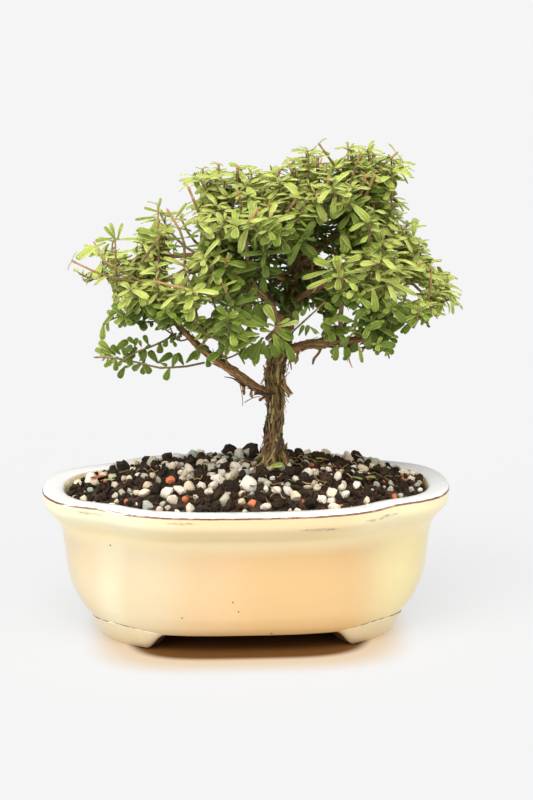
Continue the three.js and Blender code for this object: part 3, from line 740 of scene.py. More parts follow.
def soil_bed():
    around = 2 * np.pi * (np.arange(BED_SIDES) + 0.5) / BED_SIDES
    rows = []
    for height, clear in BED_WALL:
        inset_x, inset_y, *corner = smooth_read(WALL_INSIDE, np.full(BED_SIDES, float(height))).T
        x, y = plan(HALF_LENGTH - inset_x - clear, HALF_DEPTH - inset_y - clear, *corner, around)
        rows.append(np.stack([x, y, np.full(BED_SIDES, height)], 1))
    edge_x, edge_y = plan(HALF_LENGTH - SOIL_INSET, HALF_DEPTH - SOIL_INSET, *MOUTH, around)
    for share in np.linspace(1, BED_MIDDLE, BED_RINGS) ** 0.9:
        x, y = edge_x * share, edge_y * share
        rows.append(np.stack([x, y, soil_top(x, y)], 1))
    rows = np.array(rows)
    vertices = rows.reshape(-1, 3)
    crumbs = wobble(vertices, 3.1, 1.3, 2) + wobble(vertices, 1.3, 0.5, 3)
    vertices[:, 2] += np.where(vertices[:, 2] > SOIL_EDGE - 1.5, crumbs, 0)
    ends = [tuple(range(BED_SIDES))[::-1], tuple(range(len(vertices) - BED_SIDES, len(vertices)))]
    return new_mesh("soil_bed", vertices, [*map(tuple, skin(len(rows), BED_SIDES)), *ends], smooth_up_to=60)


bed = into_scene(soil_bed())


# %% Finish of the bed
def dark_fines(look):
    crumbs = look.mottle(1.6)
    look.base = colour(34, 25, 19)
    look.over(crumbs.broad, 66, 47, 33)
    look.over(look.mottle(14).broad * 0.5, 88, 58, 38)
    return 0.95, [(crumbs.height, 0.7), (look.pits(0.9, 0.8).height, 0.25)]


bed.data.materials.append(finish("dark_fines", dark_fines))
dress(bed, ["soil"])

# %% [markdown]
# ## Grains
# The top layer is lava and bark, nearly black, pale pumice, orange fired clay and crumbs.
# Each kind has a few shapes, cut from a ball by random planes. Geometry Nodes places them: a mesh of bare
# points carries the plan, one point a grain with its turn, stretch and shape as attributes, and the tree
# "place shapes" puts a shape on each point. The same tree places the leaves later. The plan itself is dart
# throwing: the grains that catch the eye are laid one by one, then each kind chooses, and a grain that would
# sit inside another is thrown again.

# %% The tree that places shapes
def stored(tree, name, kind="FLOAT"):
    """A named attribute, read in a Geometry Nodes tree"""
    return node(tree, "GeometryNodeInputNamedAttribute", {"Name": name}, data_type=kind).outputs[0]


def shapes_on(tree, points, shapes, which, turn, size):
    """A collection's shapes on points, one on each"""
    each = node(tree, "GeometryNodeCollectionInfo",
                {"Collection": shapes, "Separate Children": True, "Reset Children": True})
    return node(tree, "GeometryNodeInstanceOnPoints",
                {"Points": points, "Instance": each.outputs[0], "Pick Instance": True,
                 "Instance Index": which, "Rotation": turn, "Scale": size}).outputs[0]


def realised(tree, geometry, material, out):
    """Ends a tree: what it made becomes a mesh with one material"""
    real = node(tree, "GeometryNodeRealizeInstances", {"Geometry": geometry})
    done = node(tree, "GeometryNodeSetMaterial", {"Geometry": real.outputs[0], "Material": material})
    feed(tree, out, {"Geometry": done.outputs[0]})
    return tree


def place_shapes_tree():
    tree, given, out = new_tree("place shapes", "GeometryNodeTree",
                                {"Plan": "geometry", "Shapes": "shapes", "Finish": "material",
                                 "Unit": "float"}, {"Geometry": "geometry"})
    stretch = stored(tree, "stretch", "FLOAT_VECTOR")
    size = node(tree, "ShaderNodeVectorMath", {0: stretch, "Scale": given["Unit"]},
                operation="SCALE").outputs[0]
    turn = node(tree, "FunctionNodeEulerToRotation", {0: stored(tree, "turn", "FLOAT_VECTOR")}).outputs[0]
    placed = shapes_on(tree, given["Plan"], given["Shapes"], stored(tree, "shape", "INT"), turn, size)
    return realised(tree, placed, given["Finish"], out)


PLACE_SHAPES = place_shapes_tree()
KINDS_OF_ROW = {"turn": "FLOAT_VECTOR", "stretch": "FLOAT_VECTOR", "shape": "INT", "tone": "FLOAT"}


def shape_set(name, shapes):
    """A collection of unit shapes, kept out of the scene"""
    collection = bpy.data.collections.new(name)
    for shape in shapes:
        collection.objects.link(shape)
    return collection


def scatter(name, plan_rows, shapes, material):
    """A piece made of shapes. Each row of the plan: place, turn, stretch, shape, tone"""
    places, *columns = zip(*plan_rows)
    piece = into_scene(new_mesh(name, places, []))
    for (label, kind), column in zip(KINDS_OF_ROW.items(), columns):
        store(piece.data, label, np.array(column, np.int32 if kind == "INT" else np.float32), kind)
    run_tree(piece, PLACE_SHAPES, Shapes=shapes, Finish=material, Unit=MM)
    for label in ("turn", "stretch", "shape"):
        if label in piece.data.attributes:
            piece.data.attributes.remove(piece.data.attributes[label])
    return piece


# %% Shapes of grains
GRAIN_SHAPES = 6
GRAIN_SQUASH = 0.8
CUT_DEPTH = (0.55, 0.85)


def chipped_ball(name, seed, cuts, roughness, smooth, rounds=2, lumps=1.7):
    """A unit ball with flats cut by random planes and its surface made uneven"""
    draw = random.Random(seed)
    bm = bmesh.new()
    bmesh.ops.create_icosphere(bm, subdivisions=rounds, radius=1)
    planes = []
    for _ in range(cuts):
        way = Vector((draw.gauss(0, 1), draw.gauss(0, 1), draw.gauss(0, 1))).normalized()
        planes.append((way, draw.uniform(*CUT_DEPTH)))
    for vertex in bm.verts:
        point = vertex.co * (1 + roughness * noise.noise(vertex.co * lumps + Vector((seed, 0, 0))))
        for way, reach in planes:
            point -= way * max(0, point.dot(way) - reach)
        vertex.co = Vector((point.x, point.y * GRAIN_SQUASH, point.z * GRAIN_SQUASH))
    mesh = bpy.data.meshes.new(name)
    bm.to_mesh(mesh)
    bm.free()
    mesh.shade_smooth()
    mesh.set_sharp_from_angle(angle=math.radians(smooth))
    return bpy.data.objects.new(name, mesh)


def grain_shapes(name, first_seed, *recipe, **more):
    return shape_set(name, [chipped_ball(f"{name}_{i}", first_seed + i, *recipe, **more)
                            for i in range(GRAIN_SHAPES)])


rough_shapes = grain_shapes("rough", 20, 7, 0.5, 28, lumps=2.4)
round_shapes = grain_shapes("round", 40, 9, 0.4, 40)
crumb_shapes = grain_shapes("crumb", 70, 3, 0.35, 28, rounds=1)
print("grain shapes:", 3 * GRAIN_SHAPES)

# %% The plan of the grains, largest kinds first
# kind: how many, smallest and largest radius
GRAIN_KINDS = {"lava": (110, 2.2, 4.2), "pumice": (180, 1.9, 3.7), "lava_small": (430, 1.2, 2.2),
               "clay": (34, 1.0, 2.0), "pumice_small": (70, 0.9, 1.6), "crumbs": (1000, 0.5, 1.1)}
# the ones that catch the eye: kind, x, y, radius and tone
MARKED_GRAINS = [("pumice", 0.5, -25, 5, 0), ("pumice", 12, -30, 3.1, 0.1), ("pumice", 17, -30.5, 2.9, 0),
                 ("lava", 3, 31, 5.6, 0.2), ("lava", 11, 22, 4.2, 0.1), ("pumice", -71, 8, 3.6, 0),
                 ("lava", 33, 6, 4.4, 0.6), ("pumice", 42, -30.5, 3.2, 0.1), ("pumice", 36, -30, 3, 0.3),
                 ("lava", 34, -21, 4.2, 1), ("clay", -34.7, -15.8, 3, 0), ("pumice", -26, -25, 3, 0.5),
                 ("pumice", -20.6, -24, 3, 0.3), ("pumice", -15.8, -24, 3, 0.2),
                 ("pumice", -43, 19.5, 3.8, 0.8), ("pumice", -37.5, 30, 3.6, 0.7),
                 ("clay", -27.7, -32, 2.2, 0.2), ("clay", 0.7, -38, 2, 0), ("lava", -6, 27, 4.4, 0),
                 ("pumice", -24, 30, 3.6, 0.95), ("lava", -56, 16, 4, 0), ("pumice", -46, -25, 3.4, 0.3),
                 ("pumice", -36, -28, 3.4, 0.1), ("pumice", -30, -27, 3, 0.2), ("pumice", 27, -12, 3, 0.1)]
# a flat chip of bark on the left: place, heading and half sizes
BARK_CHIP = ((-67.6, 3.2), 0.35, (4.6, 1.5, 0.9))
TRUNK_FOOT = (13, 0)
TRUNK_ROOM = 5.6


def plan_grains():
    draw = random.Random(11)
    laid, rows = [], {kind: [] for kind in GRAIN_KINDS}

    def free(x, y, size, overlap):
        return all((x - a) ** 2 + (y - b) ** 2 > ((size + c) * overlap) ** 2 for a, b, c in laid)

    def lay(kind, x, y, size, sink, tone=None):
        laid.append((x, y, size))
        turn = [draw.uniform(0, 2 * math.pi) for _ in range(3)]
        stretch = [size * draw.uniform(0.88, 1.15) for _ in range(3)]
        place = (x, y, float(soil_top(x, y)) + size * sink)
        shape = draw.randrange(GRAIN_SHAPES)
        rows[kind].append((place, turn, stretch, shape, draw.random() if tone is None else tone))

    for kind, x, y, size, tone in MARKED_GRAINS:
        lay(kind, x, y, size, 0.35, tone)
    (x, y), heading, stretch = BARK_CHIP
    rows["clay"].append(((x, y, float(soil_top(x, y)) + 3.6), (0.2, 0, heading), stretch, 2, 1.0))
    for kind, (count, small, large) in GRAIN_KINDS.items():
        found, overlap = 0, 0.62 if kind == "crumbs" else 0.74
        for _ in range(count * 60):
            if found == count:
                break
            size = small + (large - small) * draw.random() ** 1.6
            share, around = math.sqrt(draw.random()), draw.uniform(0, 2 * math.pi)
            reach = 10.6 + size * 0.8
            edge_x, edge_y = plan(HALF_LENGTH - reach, HALF_DEPTH - reach, *MOUTH, around)
            x, y = float(edge_x) * share, float(edge_y) * share
            if math.hypot(x - TRUNK_FOOT[0], y - TRUNK_FOOT[1]) < TRUNK_ROOM + size * 0.8:
                continue
            if free(x, y, size, overlap):
                lay(kind, x, y, size, draw.uniform(0.15, 0.5))
                found += 1
    return rows


grains = plan_grains()
print("grains:", {kind: len(rows) for kind, rows in grains.items()})


# %% Finishes of the grains
def lava(look):
    spots, holes = look.mottle(1.8), look.pits(0.8, 0.7, 0.3)
    look.base = colour(30, 23, 15)
    look.over(look.read("tone").step(0.1, 0.95), 64, 45, 28)
    look.over(spots.fine * 0.45, 92, 72, 48)
    # painted shade: the pores are near black, as the shade inside them
    look.over(holes.mask * 0.7, 10, 7, 5)
    return 0.85, [(spots.height, 0.9), (holes.height, 0.4)]


def pumice(look):
    tone, spots, holes = look.read("tone"), look.mottle(1.6), look.pits(0.5, 0.45)
    look.base = colour(250, 243, 228)
    look.over(tone.step(0.0, 0.6), 236, 216, 182)
    look.over(tone.step(0.66, 0.72), 196, 194, 172)
    look.over(tone.step(0.9, 0.94), 176, 186, 172)
    look.over(spots.fine * 0.35, 150, 128, 96)
    # painted shade: the pores are darker, as the shade inside them
    look.over(holes.mask * 0.65, 84, 68, 50)
    return 0.88, [(spots.height, 0.2), (holes.height, 0.15)]


def fired_clay(look):
    spots = look.mottle(1.4)
    look.base = colour(218, 112, 60)
    look.over(look.read("tone"), 164, 76, 44)
    look.over(spots.fine * 0.45, 222, 156, 112)
    return 0.9, [(spots.height, 0.2)]


# %% Place the grains
dark = finish("lava", lava, Specular_IOR_Level=0.2)
for name, kinds, shapes, material in (
        ("grains_lava", ("lava", "lava_small"), rough_shapes, dark),
        ("grains_crumbs", ("crumbs",), crumb_shapes, dark),
        ("grains_pumice", ("pumice", "pumice_small"), round_shapes, finish("pumice", pumice)),
        ("grains_clay", ("clay",), round_shapes, finish("fired_clay", fired_clay))):
    plan_rows = [row for kind in kinds for row in grains[kind]]
    dress(scatter(name, plan_rows, shapes, material))

# %% [markdown]
# ## The wood
# The trunk and limbs are round rods with ridges, thicker at forks, and the trunk is covered
# with loose bark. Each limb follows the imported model's way, point for point, the trunk a
# little thinner, as its bark lies on it. A smooth curve runs through the points, and rings of
# vertices are hung on it. The vector attribute "fibre" keeps the place in a frame that runs
# along the limb, so bark grain can be stretched along any branch, whichever way it points.
# Cut stubs stand out of the two lowest limbs, and roots and strands run down over the foot.

# %% Ways of the limbs, in millimetres: points, and the radius at each
LIMBS = {
    "trunk": ([(13, 0, 56), (13, 0, 70), (13, 0, 74), (12.6, 0, 82), (12.4, 0, 97), (12.6, 0, 109),
               (13.4, 0, 119), (15.6, 0.6, 130), (20, 3, 147), (23, 5, 158), (25, 6, 171), (27, 5, 185),
               (27, 3, 198), (26, 1, 210)],
              (6.6, 5.9, 4.6, 3.3, 2.8, 3.1, 3.6, 3.3, 2.5, 2.2, 1.9, 1.6, 1.2, 0.8)),
    "leftMain": ([(11, 0, 106), (3, -6, 112), (-5, -12, 119), (-13, -16, 125), (-23, -20, 134),
                  (-30, -21, 142), (-39, -22, 148), (-47, -22, 151)],
                 (2.1, 1.8, 1.7, 1.6, 1.4, 1.2, 1, 0.8)),
    "rightMain": ([(16, 0, 126), (24, -6, 130), (32, -10, 132), (41, -14, 133), (54, -17, 136),
                   (60, -18, 139), (69, -18, 144), (78, -16, 148)], (2.2, 1.9, 1.8, 1.7, 1.5, 1.3, 1, 0.8)),
    "frontRight": ([(20, 3, 148), (26, -10, 154), (33, -24, 160), (40, -33, 164)], (1.5, 1.2, 1, 0.8)),
    "rightUpper": ([(24, 5, 165), (35, 3, 174), (44, 0, 184), (52, -3, 195), (57, -4, 204)],
                   (1.8, 1.5, 1.4, 1.1, 0.8)),
    "leftMid": ([(23, 4, 156), (11, 0, 162), (-3, -6, 168), (-18, -10, 171), (-36, -13, 171),
                 (-52, -14, 169)], (1.8, 1.5, 1.3, 1.1, 1, 0.8)),
    "leftUpper": ([(25, 6, 169), (13, 5, 179), (-1, 1, 187), (-13, -2, 193)], (1.5, 1.2, 1, 0.8)),
    "backLeft": ([(20, 3, 146), (9, 14, 151), (-7, 24, 156), (-27, 29, 160)], (1.6, 1.3, 1, 0.8)),
    "backRight": ([(23, 5, 160), (38, 18, 164), (56, 26, 169), (70, 28, 170)], (1.6, 1.3, 1, 0.8)),
    "rightMid": ([(24, 5, 163), (41, 4, 161), (60, 0, 160), (74, -4, 157)], (1.4, 1.2, 1, 0.8)),
    "front": ([(17, 0, 135), (13, -12, 144), (8, -24, 154), (1, -31, 160)], (1.6, 1.2, 1, 0.8)),
    "frontUpper": ([(26, 6, 174), (20, -10, 183), (13, -22, 190), (7, -29, 194)], (1.4, 1.1, 0.9, 0.8)),
    "back": ([(22, 4, 152), (25, 20, 158), (28, 32, 167)], (1.5, 1.1, 0.8)),
}
# cut or snapped stubs: limb, place along it, end point and radius
STUBS = [("leftMain", 0.21, (-1.4, -8, 108.5), 0.55), ("leftMain", 0.17, (2.2, -7, 107), 0.6),
         ("leftMain", 0.24, (-2.2, -9, 110), 0.4), ("leftMain", 0.02, (5.6, -4, 105), 0.75),
         ("leftMain", 0.13, (3.6, -7, 108.5), 0.4),
         ("rightMain", 0.14, (21.5, -7, 122), 0.6), ("rightMain", 0.3, (29, -11, 122.5), 0.6),
         ("rightMain", 0.42, (37, -14, 126), 0.5), ("rightMain", 0.5, (43, -16, 127), 0.6),
         ("rightMain", 0.6, (50, -18, 129), 0.5), ("rightMain", 0.72, (59, -20, 131), 0.6),
         ("trunk", 0.5, (19, -3, 106), 0.55), ("trunk", 0.52, (8, -2, 116), 0.9),
         ("trunk", 0.55, (20, -5, 119), 0.35), ("trunk", 0.47, (18.4, -4, 109), 0.35)]
# roots and strands that run down over the foot of the trunk: points, and the radius at each
STRANDS = [
    ([(15, -2, 92), (14.6, -4.6, 87), (12, -5.4, 81), (11.3, -6.2, 76), (13.4, -7.6, 73), (17, -9, 71)],
     (0.5, 0.9, 1.2, 1.3, 1.2, 0.6)),
    ([(11, -2, 84), (9, -4, 79), (8.2, -6, 75), (5, -8, 72)], (0.6, 1.5, 1.7, 0.8)),
    ([(15.5, -1, 84), (17, -3, 79), (18, -4.6, 75), (20.4, -6, 72)], (0.5, 1.2, 1.4, 0.7)),
    ([(12, -1, 96), (9.6, -2, 90), (9.2, -3, 84), (9.4, -3.4, 78)], (0.5, 0.8, 1, 0.9)),
    ([(15, -2, 112), (16.4, -2.6, 106), (16, -2.6, 99), (16.2, -2.4, 93)], (0.5, 0.8, 0.9, 0.5)),
    ([(11, 2, 84), (9, 5, 78), (6, 8, 73)], (0.6, 1.4, 0.8)),
    ([(16, 2, 84), (18, 5, 78), (20, 8, 73)], (0.6, 1.4, 0.8))]


# %% A smooth way through points
class Way:
    """A centripetal Catmull-Rom curve, read from 0 to 1"""

    def __init__(self, points):
        self.points = [Vector(p) for p in points]

    def at(self, u):
        points, last = self.points, len(self.points) - 1
        index = min(int(last * u), last - 1)
        share = last * u - index
        before = points[index - 1] if index else 2 * points[0] - points[1]
        after = points[index + 2] if index + 2 <= last else 2 * points[last] - points[last - 1]
        a, b = points[index], points[index + 1]
        gaps = [max((q - p).length ** 0.5, 1e-4) for p, q in ((before, a), (a, b), (b, after))]
        start = ((a - before) / gaps[0] - (b - before) / (gaps[0] + gaps[1]) + (b - a) / gaps[1]) * gaps[1]
        end = ((b - a) / gaps[1] - (after - a) / (gaps[1] + gaps[2]) + (after - b) / gaps[2]) * gaps[1]
        s2, s3 = share ** 2, share ** 3
        return (a + start * share + (3 * (b - a) - 2 * start - end) * s2
                + (2 * (a - b) + start + end) * s3)

    def ahead(self, u):
        low, high = max(u - 1e-4, 0), min(u + 1e-4, 1)
        return (self.at(high) - self.at(low)).normalized()

    def length(self):
        spots = [self.at(i / 40) for i in range(41)]
        return sum((q - p).length for p, q in zip(spots, spots[1:]))


class Bend:
    """A quadratic Bezier curve through a start, a lift and an end"""

    def __init__(self, start, lift, end):
        self.start, self.lift, self.end = start, lift, end

    def at(self, u):
        return (1 - u) ** 2 * self.start + 2 * u * (1 - u) * self.lift + u * u * self.end

    def ahead(self, u):
        return ((1 - u) * (self.lift - self.start) + u * (self.end - self.lift)).normalized()


ways = {name: Way(points) for name, (points, _) in LIMBS.items()}
print("limb lengths:", {name: round(way.length()) for name, way in ways.items()})


# %% Rods with ridges
# sides, spacing of the rings, depth of the ridges, shagginess, and how far the ends stand out
ROD_KINDS = {"trunk": (56, 0.7, 0.42, 1.0, 0.35), "main": (20, 1.1, 0.28, 0.3, 0.35),
             "limb": (14, 1.1, 0.28, 0.12, 0.35), "stub": (9, 0.5, 0.5, 0.22, 0.15),
             "strand": (14, 0.7, 0.35, 0.75, 0.5)}
# a stub's girth from its foot to its cut end, as shares of its radius
STUB_GIRTH = (1.8, 1.1, 0.9, 1.15, 0.7)
FIRST_STUB, FIRST_STRAND = 20, 40
FIBRE_SHIFT = 37.0


def read_girth(girth, u):
    return float(np.interp(u * (len(girth) - 1), range(len(girth)), girth))


def ridges(turn, along, seed):
    """How far the bark's ridges stand out: broad and fine ones that run on, and lumps"""
    grain = Vector((math.cos(turn) * 1.8, math.sin(turn) * 1.8, along * 0.07 + seed))
    lumps = Vector((grain.x * 3, grain.y * 3, along * 0.5))
    return noise.noise(grain) + 0.55 * noise.noise(grain * 2.7) + 0.45 * noise.noise(lumps)


def rod(way, girth, kind, seed):
    """Vertices, faces, fibre frame, ahead vectors and shagginess of one limb"""
    sides, spacing, ridge, shag, blunt = ROD_KINDS[kind]
    long = way.length()
    count = max(int(long / spacing), 4)
    aside = Vector((1, 0.2, 0.1))
    vertices, fibre, aheads = [], [], []
    for u in (i / count for i in range(count + 1)):
        ahead, middle, radius = way.ahead(u), way.at(u), read_girth(girth, u)
        aside = (aside - ahead * aside.dot(ahead)).normalized()
        over = ahead.cross(aside)
        for turn in (2 * math.pi * side / sides for side in range(sides)):
            out = 1 + ridge * ridges(turn, u * long, seed)
            vertices.append(middle + (aside * math.cos(turn) + over * math.sin(turn)) * radius * out)
            fibre.append((radius * math.cos(turn), radius * math.sin(turn), u * long + FIBRE_SHIFT * seed))
            aheads.append(ahead)
    faces = [tuple(face) for face in skin(count + 1, sides)]
    for u, sign, first in ((0, -1, 0), (1, 1, count * sides)):
        fibre.append((0, 0, u * long))
        aheads.append(way.ahead(u))
        vertices.append(way.at(u) + way.ahead(u) * sign * read_girth(girth, u) * blunt)
        ring = range(first, first + sides)
        for a, b in zip(ring, [*ring[1:], ring[0]]):
            faces.append((a, b, len(vertices) - 1) if u else (b, a, len(vertices) - 1))
    return vertices, faces, fibre, aheads, [shag] * len(vertices)


def join_rods(rods):
    """One set of vertices, faces and attributes from several rods"""
    joined = [[], [], [], [], []]
    for vertices, faces, *others in rods:
        faces = [tuple(i + len(joined[0]) for i in face) for face in faces]
        for whole, part in zip(joined, (vertices, faces, *others)):
            whole += part
    return joined


def stub_way(limb, place, end, number):
    start, end = ways[limb].at(place), Vector(end)
    crooked = Vector((math.sin(number * 2.3), 0.3, math.cos(number * 1.7))) * 1.1
    return Way([start, start.lerp(end, 0.4) + crooked * 0.5, start.lerp(end, 0.75) - crooked * 0.3, end])


rods = []
for number, (name, (points, girth)) in enumerate(LIMBS.items()):
    kind = "trunk" if name == "trunk" else "main" if name.endswith("Main") else "limb"
    rods.append(rod(ways[name], girth, kind, number))
for number, (limb, place, end, radius) in enumerate(STUBS):
    girth = [radius * part for part in STUB_GIRTH]
    rods.append(rod(stub_way(limb, place, end, number), girth, "stub", FIRST_STUB + number))
for number, (points, girth) in enumerate(STRANDS):
    rods.append(rod(Way(points), girth, "strand", FIRST_STRAND + number))
vertices, faces, fibre, aheads, shags = join_rods(rods)
wood = into_scene(new_mesh("wood_bark", vertices, faces, smooth_up_to=50, shag=shags))
store(wood.data, "fibre", np.array(fibre, np.float32) * MM, "FLOAT_VECTOR")
store(wood.data, "ahead", np.array([tuple(a) for a in aheads], np.float32), "FLOAT_VECTOR")
print("rods:", len(rods), "vertices:", len(vertices))


# %% [markdown]
# ## Bark
# Old bark of this species is khaki and brown, lies in long fibres, and peels in strips. The
# fibres are a noise stretched eleven times along the limb. The strips are geometry: Geometry
# Nodes scatters a few curled strip shapes over the trunk, each turned to lie along its limb
# with its face outwards.

# %% Bark finish
def bark(look):
    long, patch = look.mottle(1.0, (1, 1, 0.09), look.read("fibre", "Vector")), look.mottle(7)
    look.base = colour(78, 60, 32)
    look.over(long.broad, 176, 154, 90)
    look.over(patch.broad * 0.45, 138, 94, 54)
    young = mix(long.broad, colour(150, 100, 58), colour(214, 164, 108))
    look.base = mix(look.read("shag").step(0.3, 0.9), young, look.base)
    look.over(long.fine.step(0.6, 0.1) * 0.7, 36, 26, 17)
    return 0.9, [(long.height, 0.9), (patch.height, 0.3)]


def strip_bark(look):
    tone, long = look.read("tone"), look.mottle(1.2)
    look.base = colour(196, 174, 104)
    look.over(tone.step(0.0, 0.5), 132, 108, 60)
    look.over(tone.step(0.5, 0.75), 150, 98, 58)
    look.over(tone.step(0.68, 0.84), 54, 40, 26)
    look.over(long.fine * 0.5, 74, 56, 32)
    return 0.85, [(long.height, 0.12)]


wood.data.materials.append(finish("bark", bark))


# %% Strips of loose bark
STRIP_SHAPES, STRIP_ROWS = 5, 7
STRIP_HALF_WIDTH = 0.085
# the upper side of a strip's section: place from side to side, and height
STRIP_SECTION = ((-1, 0), (-0.3, 0.018), (0.5, 0.014), (1, -0.004))
STRIP_LIFT, STRIP_KEEL = 0.012, 0.016
STRIP_TILT = (0.3, 0.35, 0.5)
STRIPS = {"Strips per square metre": 240000.0, "Shortest": 3.5 * MM, "Longest": 11 * MM, "Seed": 4}


def strip_shape(name, seed):
    """A curled strip of unit length along Y, lifted off the bark at one end"""
    draw = random.Random(seed)
    bow, curl = draw.uniform(-0.16, 0.16), draw.uniform(0.04, 0.22)
    vertices = []
    for u in (i / (STRIP_ROWS - 1) for i in range(STRIP_ROWS)):
        wide = STRIP_HALF_WIDTH * math.sin(math.pi * min(0.12 + 0.8 * u, 0.98)) * draw.uniform(0.5, 1.3)
        x, z = bow * math.sin(math.pi * u), STRIP_LIFT + curl * u ** 3
        vertices += [(x + side * wide, u - 0.5, z + rise) for side, rise in STRIP_SECTION]
        vertices.append((x, u - 0.5, z - STRIP_KEEL))
    around = len(STRIP_SECTION) + 1
    faces = [*map(tuple, skin(STRIP_ROWS, around)), tuple(range(around))[::-1],
             tuple(range(len(vertices) - around, len(vertices)))]
    return new_mesh(name, np.array(vertices) / MM, faces, smooth_up_to=60)


def strips_tree():
    tree, given, out = new_tree("loose bark", "GeometryNodeTree",
                                {"Bark": "geometry", "Shapes": "shapes", "Finish": "material",
                                 "Strips per square metre": "float", "Shortest": "float",
                                 "Longest": "float", "Seed": "int"}, {"Geometry": "geometry"})

    def drawn(kind, output, feeds):
        return node(tree, "FunctionNodeRandomValue", feeds, data_type=kind).outputs[output]

    density = Value(tree, stored(tree, "shag")) * given["Strips per square metre"]
    spread = node(tree, "GeometryNodeDistributePointsOnFaces",
                  {"Mesh": given["Bark"], "Density": density, "Seed": given["Seed"]}).outputs
    along = stored(tree, "ahead", "FLOAT_VECTOR")
    lie = node(tree, "FunctionNodeAxesToRotation", {0: spread["Normal"], 1: along},
               primary_axis="Z", secondary_axis="Y").outputs[0]
    angles = drawn("FLOAT_VECTOR", 0, {0: [-angle for angle in STRIP_TILT], 1: STRIP_TILT, "Seed": 11})
    tilt = node(tree, "FunctionNodeEulerToRotation", {0: angles}).outputs[0]
    turn = node(tree, "FunctionNodeRotateRotation", {0: lie, 1: tilt}, rotation_space="LOCAL").outputs[0]
    size = drawn("FLOAT", 1, {"Min": given["Shortest"], "Max": given["Longest"], "Seed": 3})
    which = drawn("INT", 2, {4: 0, 5: STRIP_SHAPES - 1, "Seed": 5})
    placed = shapes_on(tree, spread["Points"], given["Shapes"], which, turn, size)
    toned = node(tree, "GeometryNodeStoreNamedAttribute",
                 {"Geometry": placed, "Name": "tone", "Value": drawn("FLOAT", 1, {"Seed": 9})},
                 data_type="FLOAT", domain="INSTANCE")
    return realised(tree, toned.outputs[0], given["Finish"], out)


strip_shapes = shape_set("strips", [strip_shape(f"strip_{i}", 60 + i) for i in range(STRIP_SHAPES)])
strips = into_scene(bpy.data.objects.new("bark_strips", wood.data.copy()))
run_tree(strips, strips_tree(), Shapes=strip_shapes, Finish=finish("strip_bark", strip_bark), **STRIPS)
dress(wood, ["trunk_and_limbs"])
dress(strips)

# %% [markdown]
# ## The leafy shoots
# Leaves of this species grow in opposite pairs, each pair turned a quarter from the last, and crowd into a
# rosette at the tip. The imported model has 55 shoots, and this table repeats where each grows and where its
# tip is. Many smaller shoots fill the crown between them: they grow from the same limbs and twigs. A bonsai
# is known by its outline, so the crown is also drawn flat, as the camera sees it: its outline, the gaps in
# it, and soft patches of older and younger leaves. On top of their age, leaves deep in the crown and in the
# darker patches are painted darker as shade, and those in the brighter patches lighter as light. A leaf that
# would leave the outline or fill a gap is made shorter, or isn't grown.

